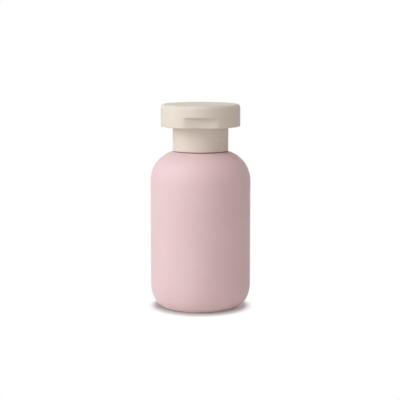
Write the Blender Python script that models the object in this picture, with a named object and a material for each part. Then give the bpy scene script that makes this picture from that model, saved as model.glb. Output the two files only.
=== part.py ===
"""Travel bottle with a screw-on collar cap, a flip-top lid and a pour plug.

The bottle stands on the ground plane, its axis is the world Z axis, and its front, with the
thumb recess of the lid, faces -Y. The lid swings back over the hinge at the rear, towards +Y.
Run it with: blender --background --python part.py
"""

import math

import bmesh
import bpy
from mathutils import Matrix, Vector

MM = 0.001

# Bottle: the drawn sizes are the diameter, the straight side and the whole height
BODY_RADIUS = 24.0 * MM
STRAIGHT_SIDE = 50.0 * MM
BASE_ROUND_HEIGHT = 11.25 * MM
BASE_ROUND_WIDTH = 7.6 * MM
SHOULDER_ROUND = 14.4 * MM
BOTTLE_WALL = 1.2 * MM
FLOOR_THICKNESS = 1.6 * MM
REST_RING_WIDTH = 2.8 * MM
PUSH_UP = 2.2 * MM
NECK_RADIUS = 10.9 * MM
NECK_WALL = 2.0 * MM
RIM_CHAMFER = 0.3 * MM

# Heights of the closure, stacked from the shoulder up
COLLAR_GAP = 0.15 * MM
COLLAR_HEIGHT = 11.6 * MM
LID_HEIGHT = 10.6 * MM
DECK_RECESS = 0.8 * MM
DECK_THICKNESS = 1.5 * MM
SEAL_THICKNESS = 0.8 * MM
FLANGE_THICKNESS = 0.9 * MM

# Clearances between the pieces
SEAT_GAP = 0.3 * MM
SIDE_GAP = 0.3 * MM
LID_CLEARANCE = 0.35 * MM
THREAD_ROOM = 1.3 * MM
STOPPER_CLEARANCE = 0.5 * MM
RING_CLEARANCE = 0.7 * MM

# Pour plug pressed into the neck
PLUG_DEPTH = 6.0 * MM
PLUG_WALL = 1.1 * MM
PLUG_FLOOR = 1.0 * MM
PLUG_LEAD_IN = 0.6 * MM
ORIFICE_RADIUS = 3.2 * MM

# Sealing ring between the plug and the cap
SEAL_WIDTH = 3.9 * MM
SEAL_CHAMFER = 0.2 * MM

# Cap base: collar, deck and nozzle
COLLAR_WALL = 1.13 * MM
COLLAR_EDGE_ROUND = 0.4 * MM
DECK_EDGE_ROUND = 0.3 * MM
DECK_RIM_WIDTH = 1.5 * MM
DECK_DISH = 0.4 * MM
NOZZLE_BORE = 3.2 * MM
NOZZLE_WALL = 0.8 * MM
NOZZLE_FLARE = 0.5 * MM
NOZZLE_HEIGHT = 3.5 * MM
NOZZLE_LIP = 0.3 * MM

# Flip lid
LID_OVERHANG = 5.67 * MM
SKIRT_WALL = 1.8 * MM
LID_TOP_THICKNESS = 1.7 * MM
LID_TOP_ROUND = 1.8 * MM
LID_BOTTOM_ROUND = 0.7 * MM
SKIRT_LEAD_IN = 0.45 * MM
INNER_CORNER_ROUND = 1.0 * MM
STOPPER_WALL = 0.8 * MM
STOPPER_TAPER = 0.4 * MM
STOPPER_REACH = 1.5 * MM
RING_WALL = 0.8 * MM
RING_REACH = 1.0 * MM
RIB_PAIRS = 4
RIB_FIRST_DEG = 35.0
RIB_STEP_DEG = 30.0
RIB_WIDTH = 0.9 * MM
RIB_DEPTH = 1.3 * MM

# Thumb recess in the front of the lid
RECESS_DEPTH = 1.6 * MM
RECESS_HEIGHT = 4.7 * MM
FRONT_WALL = 1.5 * MM
LEDGE_THICKNESS = 1.3 * MM

# Butterfly hinge at the rear
HINGE_FLAT_DEPTH = 0.6 * MM
HINGE_OVER_DECK = 0.7 * MM
HINGE_AXIS_OUTSET = 0.1 * MM
NOTCH_HALF_WIDTH = 6.5 * MM
PAD_BORDER = 0.5 * MM
PAD_HEIGHT = 3.5 * MM
PAD_SLOPE = 1.2 * MM
FILM_SLOT = 1.1 * MM
FILM_SPACING = 0.8 * MM
FILM_THICKNESS = 0.35 * MM
FILM_GROOVE = 0.08 * MM
STRAP_SLOT = 2.4 * MM
STRAP_INSET = 0.8 * MM
STRAP_WIDTH = 1.6 * MM
STRAP_THICKNESS = 0.4 * MM
LAND_THICKNESS = 1.45 * MM
BRACKET_DROP = 2.0 * MM

# Mesh quality
SEGMENTS = 48
ARC_STEPS = 7
SMALL_ARC_STEPS = 3
MERGE_DISTANCE = 0.001 * MM
CUT_MARGIN = 1.0 * MM
SHARP_ANGLE = math.radians(30.0)

# Heights worked out from the driving sizes
STRAIGHT_TOP_Z = BASE_ROUND_HEIGHT + STRAIGHT_SIDE
SHOULDER_TOP_Z = STRAIGHT_TOP_Z + SHOULDER_ROUND
COLLAR_BOTTOM_Z = SHOULDER_TOP_Z + COLLAR_GAP
LID_BOTTOM_Z = COLLAR_BOTTOM_Z + COLLAR_HEIGHT
LID_TOP_Z = LID_BOTTOM_Z + LID_HEIGHT
DECK_BOTTOM_Z = LID_BOTTOM_Z + DECK_RECESS
DECK_TOP_Z = DECK_BOTTOM_Z + DECK_THICKNESS
SEAL_TOP_Z = DECK_BOTTOM_Z - SEAT_GAP
SEAL_BOTTOM_Z = SEAL_TOP_Z - SEAL_THICKNESS
FLANGE_TOP_Z = SEAL_BOTTOM_Z - SEAT_GAP
FLANGE_BOTTOM_Z = FLANGE_TOP_Z - FLANGE_THICKNESS
RIM_Z = FLANGE_BOTTOM_Z - SEAT_GAP
NOZZLE_TOP_Z = DECK_TOP_Z + NOZZLE_HEIGHT
CAVITY_TOP_Z = LID_TOP_Z - LID_TOP_THICKNESS
LEDGE_Z = LID_BOTTOM_Z + RECESS_HEIGHT
HINGE_Z = DECK_BOTTOM_Z + HINGE_OVER_DECK

# Radii and depths worked out from the driving sizes
NECK_BORE = NECK_RADIUS - NECK_WALL
COLLAR_BORE = NECK_RADIUS + THREAD_ROOM
COLLAR_RADIUS = COLLAR_BORE + COLLAR_WALL
LID_RADIUS = COLLAR_RADIUS + LID_OVERHANG
SKIRT_BORE = LID_RADIUS - SKIRT_WALL
DECK_RADIUS = SKIRT_BORE - LID_CLEARANCE
RECESS_Y = RECESS_DEPTH - LID_RADIUS
CAVITY_FRONT_Y = RECESS_Y + FRONT_WALL
DECK_FRONT_Y = CAVITY_FRONT_Y + LID_CLEARANCE
HINGE_FLAT_Y = LID_RADIUS - HINGE_FLAT_DEPTH
HINGE_Y = HINGE_FLAT_Y + HINGE_AXIS_OUTSET
LAND_HALF_WIDTH = NOTCH_HALF_WIDTH - SIDE_GAP
STRAP_OUTER_X = LAND_HALF_WIDTH - STRAP_INSET
STRAP_INNER_X = STRAP_OUTER_X - STRAP_WIDTH
STRAP_BACK_Y = HINGE_FLAT_Y - STRAP_THICKNESS
FILM_HALF_WIDTH = STRAP_INNER_X - FILM_SPACING

CAP_ORIGIN = Vector((0.0, 0.0, COLLAR_BOTTOM_Z))
SEAL_ORIGIN = Vector((0.0, 0.0, SEAL_BOTTOM_Z))
HINGE_ORIGIN = Vector((0.0, HINGE_Y, HINGE_Z))
WORLD_ORIGIN = Vector((0.0, 0.0, 0.0))

# Colours as sRGB hex, with the roughness of each moulded plastic
PINK = ("E1C4C5", 0.50)
CREAM = ("DED2C6", 0.55)
NATURAL_WHITE = ("F2F1EC", 0.40)
SEAL_GREY = ("D9DAD8", 0.60)


def clear_scene():
    """Remove every object, so that the script always starts from nothing."""
    for item in list(bpy.data.objects):
        bpy.data.objects.remove(item, do_unlink=True)


def linear(channel):
    """Turn one sRGB channel into its linear value."""
    if channel <= 0.04045:
        return channel / 12.92
    return ((channel + 0.055) / 1.055) ** 2.4


def plastic(name, colour, roughness):
    """A Principled material for one moulded plastic."""
    material = bpy.data.materials.new(name)
    material.use_nodes = True
    shader = material.node_tree.nodes["Principled BSDF"]
    channels = [linear(int(colour[i : i + 2], 16) / 255.0) for i in (0, 2, 4)]
    shader.inputs["Base Color"].default_value = (*channels, 1.0)
    shader.inputs["Roughness"].default_value = roughness
    shader.inputs["Metallic"].default_value = 0.0
    return material


def arc(centre, radii, start_deg, end_deg, steps):
    """Points on a circle or ellipse arc in the (radius, height) plane."""
    points = []
    for step in range(steps + 1):
        angle = math.radians(start_deg + (end_deg - start_deg) * step / steps)
        radius = centre[0] + radii[0] * math.cos(angle)
        height = centre[1] + radii[1] * math.sin(angle)
        points.append((radius, height))
    return points


def add_object(name, bm, origin=WORLD_ORIGIN):
    """Make an object of the bmesh, smooth shaded, with its origin where it turns or sits."""
    bmesh.ops.recalc_face_normals(bm, faces=bm.faces)
    mesh = bpy.data.meshes.new(name)
    bm.to_mesh(mesh)
    bm.free()
    mesh.transform(Matrix.Translation(-origin))
    mesh.shade_smooth()
    mesh.set_sharp_from_angle(angle=SHARP_ANGLE)
    item = bpy.data.objects.new(name, mesh)
    item.location = origin
    bpy.context.scene.collection.objects.link(item)
    return item


def revolve(name, profile, origin=WORLD_ORIGIN):
    """Spin an outline round the Z axis. One that leaves the axis at both ends is closed."""
    bm = bmesh.new()
    verts = [bm.verts.new((radius, 0.0, height)) for radius, height in profile]
    pairs = list(zip(verts, verts[1:]))
    ends_on_axis = profile[0][0] < MERGE_DISTANCE and profile[-1][0] < MERGE_DISTANCE
    if not ends_on_axis:
        pairs.append((verts[-1], verts[0]))
    edges = [bm.edges.new(pair) for pair in pairs]
    bmesh.ops.spin(
        bm,
        geom=verts + edges,
        cent=(0.0, 0.0, 0.0),
        axis=(0.0, 0.0, 1.0),
        angle=math.tau,
        steps=SEGMENTS,
        use_merge=True,
    )
    bmesh.ops.remove_doubles(bm, verts=bm.verts, dist=MERGE_DISTANCE)
    return add_object(name, bm, origin)


def prism(name, outline, x_low, x_high, origin=WORLD_ORIGIN):
    """Extrude an outline of (y, z) points along X."""
    bm = bmesh.new()
    verts = [bm.verts.new((x_low, y, z)) for y, z in outline]
    face = bm.faces.new(verts)
    grown = bmesh.ops.extrude_face_region(bm, geom=[face])
    moved = [part for part in grown["geom"] if isinstance(part, bmesh.types.BMVert)]
    bmesh.ops.translate(bm, verts=moved, vec=(x_high - x_low, 0.0, 0.0))
    return add_object(name, bm, origin)


def box(name, low, high):
    """A block between two opposite corners."""
    outline = [(low[1], low[2]), (high[1], low[2]), (high[1], high[2]), (low[1], high[2])]
    return prism(name, outline, low[0], high[0])


def combine(target, tool, operation):
    """Join or cut a piece with a tool body, which is then hidden."""
    modifier = target.modifiers.new(tool.name, "BOOLEAN")
    modifier.operation = operation
    modifier.solver = "EXACT"
    modifier.object = tool
    tool.hide_render = True
    tool.display_type = "WIRE"


def cut(target, tool):
    """Cut a tool body out of a piece."""
    combine(target, tool, "DIFFERENCE")


def join(target, tool):
    """Join a tool body to a piece."""
    combine(target, tool, "UNION")


def push_up(ring_radius, lift):
    """The dome pressed up into the base, from the axis out to the ring that it stands on."""
    points = []
    for step in range(ARC_STEPS):
        share = step / ARC_STEPS
        height = lift + PUSH_UP * (1.0 + math.cos(math.pi * share)) / 2.0
        points.append((ring_radius * share, height))
    return points


def shoulder(inset, neck_radius):
    """The shoulder from the straight side in to the neck, inset by the wall on the inside."""
    centre = (BODY_RADIUS - SHOULDER_ROUND, STRAIGHT_TOP_Z)
    radius = SHOULDER_ROUND - inset
    reach = max(0.0, (neck_radius - centre[0]) / radius)
    return arc(centre, (radius, radius), 0.0, math.degrees(math.acos(reach)), ARC_STEPS)


def bottle_outside():
    """The outer outline, from the middle of the base up to the neck's rim."""
    corner = (BODY_RADIUS - BASE_ROUND_WIDTH, BASE_ROUND_HEIGHT)
    ring_inner = corner[0] - REST_RING_WIDTH
    points = push_up(ring_inner, 0.0)
    points.append((ring_inner, 0.0))
    points += arc(corner, (BASE_ROUND_WIDTH, BASE_ROUND_HEIGHT), -90.0, 0.0, ARC_STEPS)
    points += shoulder(0.0, NECK_RADIUS)
    if BODY_RADIUS - SHOULDER_ROUND > NECK_RADIUS:
        points.append((NECK_RADIUS, SHOULDER_TOP_Z))
    points.append((NECK_RADIUS, RIM_Z - RIM_CHAMFER))
    points.append((NECK_RADIUS - RIM_CHAMFER, RIM_Z))
    return points


def bottle_inside():
    """The inner outline, from the middle of the floor up to the neck's rim."""
    corner = (BODY_RADIUS - BASE_ROUND_WIDTH, BASE_ROUND_HEIGHT)
    ring_inner = corner[0] - REST_RING_WIDTH
    radii = (BASE_ROUND_WIDTH - BOTTLE_WALL, BASE_ROUND_HEIGHT - FLOOR_THICKNESS)
    points = push_up(ring_inner, FLOOR_THICKNESS)
    points.append((ring_inner, FLOOR_THICKNESS))
    points += arc(corner, radii, -90.0, 0.0, ARC_STEPS)
    points += shoulder(BOTTLE_WALL, NECK_BORE)
    if BODY_RADIUS - SHOULDER_ROUND > NECK_BORE:
        points.append((NECK_BORE, SHOULDER_TOP_Z - BOTTLE_WALL))
    points.append((NECK_BORE, RIM_Z - RIM_CHAMFER))
    points.append((NECK_BORE + RIM_CHAMFER, RIM_Z))
    return points


def make_bottle():
    """The blown bottle: one skin with its neck, and a base that stands on a flat ring."""
    return revolve("bottle", bottle_outside() + bottle_inside()[::-1])


def make_neck_plug():
    """The pour plug: a cup in the neck, its flange on the rim, with a round orifice."""
    skirt = NECK_BORE - SIDE_GAP
    bowl = skirt - PLUG_WALL
    bottom = RIM_Z - PLUG_DEPTH
    profile = [
        (ORIFICE_RADIUS, bottom),
        (skirt - PLUG_LEAD_IN, bottom),
        (skirt, bottom + PLUG_LEAD_IN),
        (skirt, FLANGE_BOTTOM_Z),
        (NECK_RADIUS, FLANGE_BOTTOM_Z),
        (NECK_RADIUS, FLANGE_TOP_Z),
        (bowl, FLANGE_TOP_Z),
        (bowl, bottom + PLUG_FLOOR),
        (ORIFICE_RADIUS, bottom + PLUG_FLOOR),
    ]
    return revolve("neck_plug", profile)


def make_sealing_ring():
    """The flat sealing ring that the cap presses onto the plug's flange."""
    outer = COLLAR_BORE - SIDE_GAP
    inner = outer - SEAL_WIDTH
    profile = [
        (inner, SEAL_BOTTOM_Z + SEAL_CHAMFER),
        (inner + SEAL_CHAMFER, SEAL_BOTTOM_Z),
        (outer - SEAL_CHAMFER, SEAL_BOTTOM_Z),
        (outer, SEAL_BOTTOM_Z + SEAL_CHAMFER),
        (outer, SEAL_TOP_Z - SEAL_CHAMFER),
        (outer - SEAL_CHAMFER, SEAL_TOP_Z),
        (inner + SEAL_CHAMFER, SEAL_TOP_Z),
        (inner, SEAL_TOP_Z - SEAL_CHAMFER),
    ]
    return revolve("sealing_ring", profile, SEAL_ORIGIN)


def cap_base_profile():
    """Collar, deck and nozzle in one outline, from the collar's lower edge outwards."""
    edge = (COLLAR_EDGE_ROUND, COLLAR_EDGE_ROUND)
    rim = (DECK_EDGE_ROUND, DECK_EDGE_ROUND)
    lip = (NOZZLE_LIP, NOZZLE_LIP)
    collar_corner = (COLLAR_RADIUS - COLLAR_EDGE_ROUND, COLLAR_BOTTOM_Z + COLLAR_EDGE_ROUND)
    deck_low = (DECK_RADIUS - DECK_EDGE_ROUND, DECK_BOTTOM_Z + DECK_EDGE_ROUND)
    deck_high = (DECK_RADIUS - DECK_EDGE_ROUND, DECK_TOP_Z - DECK_EDGE_ROUND)
    tip = NOZZLE_BORE + NOZZLE_WALL
    dish = DECK_TOP_Z - DECK_DISH
    dish_radius = DECK_RADIUS - DECK_RIM_WIDTH
    points = [(COLLAR_BORE, COLLAR_BOTTOM_Z)]
    points += arc(collar_corner, edge, -90.0, 0.0, SMALL_ARC_STEPS)
    points.append((COLLAR_RADIUS, DECK_BOTTOM_Z))
    points += arc(deck_low, rim, -90.0, 0.0, SMALL_ARC_STEPS)
    points += arc(deck_high, rim, 0.0, 90.0, SMALL_ARC_STEPS)
    points.append((dish_radius, DECK_TOP_Z))
    points.append((dish_radius - DECK_DISH, dish))
    points.append((tip + NOZZLE_FLARE, dish))
    points += arc((tip - NOZZLE_LIP, NOZZLE_TOP_Z - NOZZLE_LIP), lip, 0.0, 90.0, SMALL_ARC_STEPS)
    points.append((NOZZLE_BORE, NOZZLE_TOP_Z))
    points.append((NOZZLE_BORE, DECK_BOTTOM_Z))
    points.append((COLLAR_BORE, DECK_BOTTOM_Z))
    return points


def hinge_land():
    """The bracket under the rear of the deck, which carries the hinge out to its flat."""
    top = HINGE_Z - FILM_SLOT / 2.0
    bottom = top - LAND_THICKNESS
    root = COLLAR_RADIUS - COLLAR_WALL / 2.0
    step = DECK_RADIUS - LAND_THICKNESS
    deck_middle = (DECK_BOTTOM_Z + DECK_TOP_Z - DECK_DISH) / 2.0
    outline = [
        (root, bottom - BRACKET_DROP),
        (HINGE_FLAT_Y, bottom),
        (HINGE_FLAT_Y, top),
        (step, top),
        (step - DECK_DISH, deck_middle),
        (root, deck_middle),
    ]
    return prism("hinge_land", outline, -LAND_HALF_WIDTH, LAND_HALF_WIDTH)


def strap_pocket(name, side, z_low, z_high):
    """A cutter for the seat of one hinge strap, on the left (-1) or the right (1)."""
    inner = STRAP_INNER_X - SIDE_GAP
    outer = STRAP_OUTER_X + SIDE_GAP
    x_low, x_high = sorted((side * inner, side * outer))
    low = (x_low, STRAP_BACK_Y - SIDE_GAP, z_low)
    high = (x_high, HINGE_FLAT_Y + CUT_MARGIN, z_high)
    return box(name, low, high)


def make_cap_base():
    """The screw cap: a collar round the neck, a dished deck with a nozzle, and the hinge land."""
    cap = revolve("cap_base", cap_base_profile(), CAP_ORIGIN)
    reach = DECK_RADIUS + CUT_MARGIN
    low = (-reach, -reach, DECK_BOTTOM_Z - CUT_MARGIN)
    high = (reach, DECK_FRONT_Y, DECK_TOP_Z + CUT_MARGIN)
    cut(cap, box("deck_front", low, high))
    join(cap, hinge_land())
    for name, side in (("left", -1), ("right", 1)):
        z_low = HINGE_Z - STRAP_SLOT / 2.0
        cut(cap, strap_pocket("land_pocket_" + name, side, z_low, DECK_TOP_Z + CUT_MARGIN))
    return cap


def lid_outside():
    """The outer outline of the closed lid, a puck with a soft top edge."""
    top_corner = (LID_RADIUS - LID_TOP_ROUND, LID_TOP_Z - LID_TOP_ROUND)
    low_corner = (LID_RADIUS - LID_BOTTOM_ROUND, LID_BOTTOM_Z + LID_BOTTOM_ROUND)
    points = [(0.0, LID_BOTTOM_Z)]
    points += arc(low_corner, (LID_BOTTOM_ROUND, LID_BOTTOM_ROUND), -90.0, 0.0, ARC_STEPS)
    points += arc(top_corner, (LID_TOP_ROUND, LID_TOP_ROUND), 0.0, 90.0, ARC_STEPS)
    points.append((0.0, LID_TOP_Z))
    return points


def sealing_skirt():
    """The ring under the lid that surrounds the nozzle's tip, from its outer side in."""
    inner = NOZZLE_BORE + NOZZLE_WALL + RING_CLEARANCE
    outer = inner + RING_WALL
    low = NOZZLE_TOP_Z - RING_REACH
    return [(outer, CAVITY_TOP_Z), (outer, low), (inner, low), (inner, CAVITY_TOP_Z)]


def stopper():
    """The hollow, tapered stopper under the lid that closes the nozzle, from its outer side in."""
    root = NOZZLE_BORE - STOPPER_CLEARANCE
    tip = root - STOPPER_TAPER
    low = NOZZLE_TOP_Z - STOPPER_REACH
    outside = [(root, CAVITY_TOP_Z), (root, NOZZLE_TOP_Z), (tip, low)]
    return outside + [(tip - STOPPER_WALL, low), (root - STOPPER_WALL, CAVITY_TOP_Z)]


def lid_cavity():
    """The hollow of the lid round its skirt and stopper, behind the wall of the thumb recess."""
    mouth = SKIRT_BORE + SKIRT_LEAD_IN
    corner = (SKIRT_BORE - INNER_CORNER_ROUND, CAVITY_TOP_Z - INNER_CORNER_ROUND)
    round_radii = (INNER_CORNER_ROUND, INNER_CORNER_ROUND)
    points = [
        (0.0, LID_BOTTOM_Z - CUT_MARGIN),
        (mouth, LID_BOTTOM_Z - CUT_MARGIN),
        (mouth, LID_BOTTOM_Z),
        (SKIRT_BORE, LID_BOTTOM_Z + SKIRT_LEAD_IN),
    ]
    points += arc(corner, round_radii, 0.0, 90.0, SMALL_ARC_STEPS)
    points += sealing_skirt() + stopper()
    points.append((0.0, CAVITY_TOP_Z))
    cavity = revolve("lid_cavity", points)
    reach = LID_RADIUS + CUT_MARGIN
    low = (-reach, -reach, LID_BOTTOM_Z - CUT_MARGIN * 2.0)
    high = (reach, CAVITY_FRONT_Y, LEDGE_Z + LEDGE_THICKNESS)
    cut(cavity, box("front_wall", low, high))
    return cavity


def thumb_recess():
    """The cutter for the flat thumb recess, open at the lid's lower edge."""
    reach = LID_RADIUS + CUT_MARGIN
    low = (-reach, -reach, LID_BOTTOM_Z - CUT_MARGIN)
    high = (reach, RECESS_Y, LEDGE_Z)
    return box("thumb_recess", low, high)


def hinge_pad():
    """The thickened pad on the lid's rear wall, whose upper edge slopes back to the round."""
    back = COLLAR_RADIUS
    low = LID_BOTTOM_Z + LID_BOTTOM_ROUND
    proud = HINGE_FLAT_Y + CUT_MARGIN
    top = HINGE_Z + PAD_HEIGHT - PAD_BORDER
    outline = [
        (back, low),
        (proud, low),
        (proud, top - CUT_MARGIN),
        (HINGE_FLAT_Y - PAD_SLOPE, top + PAD_SLOPE),
        (back, top + PAD_SLOPE),
    ]
    half_width = NOTCH_HALF_WIDTH + PAD_BORDER
    return prism("hinge_pad", outline, -half_width, half_width)


def hinge_flat():
    """The cutter that gives the lid's rear wall its flat, straight enough to fold on."""
    top = HINGE_Z + PAD_HEIGHT
    outer = LID_RADIUS + CUT_MARGIN
    rise = outer - HINGE_FLAT_Y
    low = LID_BOTTOM_Z - CUT_MARGIN
    outline = [(HINGE_FLAT_Y, low), (outer, low), (outer, top + rise), (HINGE_FLAT_Y, top)]
    return prism("hinge_flat", outline, -LID_RADIUS, LID_RADIUS)


def hinge_notch():
    """The cutter that opens the lid's skirt round the hinge land."""
    low = (-NOTCH_HALF_WIDTH, COLLAR_RADIUS, LID_BOTTOM_Z - CUT_MARGIN)
    high = (NOTCH_HALF_WIDTH, LID_RADIUS + CUT_MARGIN, HINGE_Z + FILM_SLOT / 2.0)
    return box("hinge_notch", low, high)


def landing_ribs():
    """The ribs inside the lid that land on the deck's rim and stop the lid."""
    bm = bmesh.new()
    inner = SKIRT_BORE - RIB_DEPTH
    outer = SKIRT_BORE + SKIRT_WALL / 3.0
    low = DECK_TOP_Z + SEAT_GAP
    high = CAVITY_TOP_Z + LID_TOP_THICKNESS / 3.0
    size = Matrix.Diagonal((RIB_WIDTH, outer - inner, high - low, 1.0))
    place = Matrix.Translation((0.0, -(outer + inner) / 2.0, (low + high) / 2.0))
    for side in (-1, 1):
        for pair in range(RIB_PAIRS):
            angle = math.radians(RIB_FIRST_DEG + pair * RIB_STEP_DEG)
            turn = Matrix.Rotation(side * angle, 4, "Z")
            bmesh.ops.create_cube(bm, size=1.0, matrix=turn @ place @ size)
    return add_object("landing_ribs", bm)


def make_flip_lid():
    """The flip lid: a shell with a thumb recess, ribs, a stopper and its side of the hinge."""
    lid = revolve("flip_lid", lid_outside(), HINGE_ORIGIN)
    join(lid, hinge_pad())
    cut(lid, hinge_flat())
    cut(lid, thumb_recess())
    cut(lid, lid_cavity())
    join(lid, landing_ribs())
    cut(lid, hinge_notch())
    for name, side in (("left", -1), ("right", 1)):
        z_low = LID_BOTTOM_Z - CUT_MARGIN
        cut(lid, strap_pocket("lid_pocket_" + name, side, z_low, HINGE_Z + STRAP_SLOT / 2.0))
    return lid


def make_hinge_film():
    """The thin middle film that the lid folds on, thinned along the hinge axis."""
    half_height = FILM_SLOT / 2.0 - SEAT_GAP
    front = HINGE_Y - FILM_THICKNESS
    outline = [
        (front, HINGE_Z - half_height),
        (HINGE_Y, HINGE_Z - half_height),
        (HINGE_Y - FILM_GROOVE, HINGE_Z),
        (HINGE_Y, HINGE_Z + half_height),
        (front, HINGE_Z + half_height),
        (front + FILM_GROOVE, HINGE_Z),
    ]
    return prism("hinge_film", outline, -FILM_HALF_WIDTH, FILM_HALF_WIDTH, HINGE_ORIGIN)


def make_hinge_strap(name, side):
    """One tension strap of the hinge, beside the film, which snaps the lid open or shut."""
    half_height = STRAP_SLOT / 2.0 - SEAT_GAP
    outline = [
        (STRAP_BACK_Y, HINGE_Z - half_height),
        (HINGE_FLAT_Y, HINGE_Z - half_height),
        (HINGE_FLAT_Y, HINGE_Z + half_height),
        (STRAP_BACK_Y, HINGE_Z + half_height),
    ]
    x_low, x_high = sorted((side * STRAP_INNER_X, side * STRAP_OUTER_X))
    return prism(name, outline, x_low, x_high, HINGE_ORIGIN)


def add_axis(name, location):
    """An empty that marks a joint's axis and carries what moves with it."""
    empty = bpy.data.objects.new(name, None)
    empty.location = location
    empty.empty_display_size = COLLAR_RADIUS
    bpy.context.scene.collection.objects.link(empty)
    return empty


def attach(children, parent):
    """Parent pieces to an axis without moving them."""
    bpy.context.view_layer.update()
    for child in children:
        child.parent = parent
        child.matrix_parent_inverse = parent.matrix_world.inverted()


def build():
    """Model the whole bottle and parent each moving piece to its axis."""
    clear_scene()
    bottle = make_bottle()
    plug = make_neck_plug()
    seal = make_sealing_ring()
    cap = make_cap_base()
    lid = make_flip_lid()
    film = make_hinge_film()
    straps = [make_hinge_strap("hinge_strap_left", -1), make_hinge_strap("hinge_strap_right", 1)]

    for piece, name, finish in (
        (bottle, "bottle_plastic", PINK),
        (plug, "plug_plastic", NATURAL_WHITE),
        (seal, "seal_foam", SEAL_GREY),
        (cap, "cap_plastic", CREAM),
        (lid, "lid_plastic", CREAM),
        (film, "film_plastic", CREAM),
        (straps[0], "left_strap_plastic", CREAM),
        (straps[1], "right_strap_plastic", CREAM),
    ):
        piece.data.materials.append(plastic(name, *finish))

    rise_axis = add_axis("cap_rise_axis", SEAL_ORIGIN)
    screw_axis = add_axis("cap_screw_axis", CAP_ORIGIN)
    hinge_axis = add_axis("lid_hinge_axis", HINGE_ORIGIN)
    attach([plug, rise_axis], bottle)
    attach([seal, screw_axis], rise_axis)
    attach([cap, film, *straps, hinge_axis], screw_axis)
    attach([lid], hinge_axis)


if __name__ == "__main__":
    build()
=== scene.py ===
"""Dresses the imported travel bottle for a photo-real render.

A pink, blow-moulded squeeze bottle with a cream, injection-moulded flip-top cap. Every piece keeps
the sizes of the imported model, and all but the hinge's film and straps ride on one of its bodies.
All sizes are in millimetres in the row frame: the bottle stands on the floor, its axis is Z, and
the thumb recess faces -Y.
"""

import logging
import math
from collections.abc import Callable, Mapping, Sequence
from dataclasses import dataclass, field
from enum import Enum
from functools import partial

import bmesh
import bpy
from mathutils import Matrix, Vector


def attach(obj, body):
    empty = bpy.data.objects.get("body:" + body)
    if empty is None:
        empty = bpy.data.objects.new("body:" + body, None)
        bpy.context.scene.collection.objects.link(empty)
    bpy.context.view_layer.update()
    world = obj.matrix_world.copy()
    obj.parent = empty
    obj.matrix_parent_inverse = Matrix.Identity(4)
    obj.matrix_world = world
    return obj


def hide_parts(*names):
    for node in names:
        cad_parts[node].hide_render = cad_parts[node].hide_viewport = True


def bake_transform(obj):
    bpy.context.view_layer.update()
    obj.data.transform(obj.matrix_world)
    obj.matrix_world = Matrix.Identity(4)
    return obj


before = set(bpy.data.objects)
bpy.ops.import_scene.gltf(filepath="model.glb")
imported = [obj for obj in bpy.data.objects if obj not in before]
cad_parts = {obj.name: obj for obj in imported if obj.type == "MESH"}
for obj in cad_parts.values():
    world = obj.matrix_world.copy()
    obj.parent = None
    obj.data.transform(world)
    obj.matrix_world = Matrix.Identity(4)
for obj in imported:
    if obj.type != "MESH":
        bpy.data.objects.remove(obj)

LOG = logging.getLogger("travel_bottle")
MM = 0.001
MERGE_DISTANCE = 0.002 * MM
ON_AXIS = 1e-6
SHARP_ANGLE = math.radians(42.0)
BEVEL_ANGLE = math.radians(30.0)
FRONT = -math.pi / 2.0
# The longest rounding, as a share of the shorter side that it lies on.
ROUNDING_SHARE = 0.49

MATH = "ShaderNodeMath"
VECTOR_MATH = "ShaderNodeVectorMath"
MAP_RANGE = "ShaderNodeMapRange"
NOISE = "ShaderNodeTexNoise"
MERGE = "GeometryNodeMergeByDistance"
# The colour output of a Mix node, whose outputs all have the same name.
COLOUR_RESULT = 2
# Noise values between which a plastic's tone and its gloss change.
DRIFT_SPREAD = (0.35, 0.65)
GRAIN_SPREAD = (0.3, 0.7)
# Heights in millimetres between which the parting line starts.
SEAM_START = (0.1, 0.9)

Outline = list[tuple[float, float]]
NodeAdder = Callable[..., bpy.types.Node]


class Body(Enum):
    """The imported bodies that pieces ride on."""

    BOTTLE = "bottle_body"
    SEAL = "seal_body"
    CAP = "cap_body"
    LID = "lid_body"


class Skin(Enum):
    """The part of the lid that a ring of points belongs to."""

    INSIDE = "inside"
    SIDE = "side"
    TOP = "top"


class Throw(Enum):
    """What a lamp shines on."""

    ALL = "all"
    NOT_FLOOR = "not_floor"
    FLOOR = "floor"


# Helpers


def linear_rgba(hex_colour: str) -> tuple[float, float, float, float]:
    """Turn an sRGB hex colour into the linear colour that a shader takes.

    Args:
        hex_colour: Six hex digits, such as "E9E0D2".

    Returns:
        Linear red, green and blue, and an alpha of 1.
    """
    channels = [int(hex_colour[start : start + 2], 16) / 255.0 for start in (0, 2, 4)]
    red, green, blue = (
        value / 12.92 if value <= 0.04045 else ((value + 0.055) / 1.055) ** 2.4
        for value in channels
    )
    return red, green, blue, 1.0


def add_node(
    tree: bpy.types.NodeTree,
    kind: str,
    links: Mapping[str, object] | Sequence[object] = (),
    **settings: object,
) -> bpy.types.Node:
    """Add one node with its settings and its input values or links.

    Args:
        tree: The node tree that gets the node.
        kind: The node's type name.
        links: A node, an output socket or a plain value for each input, by the input's
            identifier or name, or in the order of the inputs.
        **settings: Properties of the node.

    Returns:
        The new node.
    """
    node = tree.nodes.new(kind)
    for name, value in settings.items():
        setattr(node, name, value)
    for name, value in links.items() if isinstance(links, Mapping) else enumerate(links):
        named = (item for item in node.inputs if name in (item.identifier, item.name))
        socket = next(named) if isinstance(name, str) else node.inputs[name]
        if isinstance(value, bpy.types.Node):
            value = value.outputs[0]
        if isinstance(value, bpy.types.NodeSocket):
            tree.links.new(value, socket)
        else:
            socket.default_value = value
    return node


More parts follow.
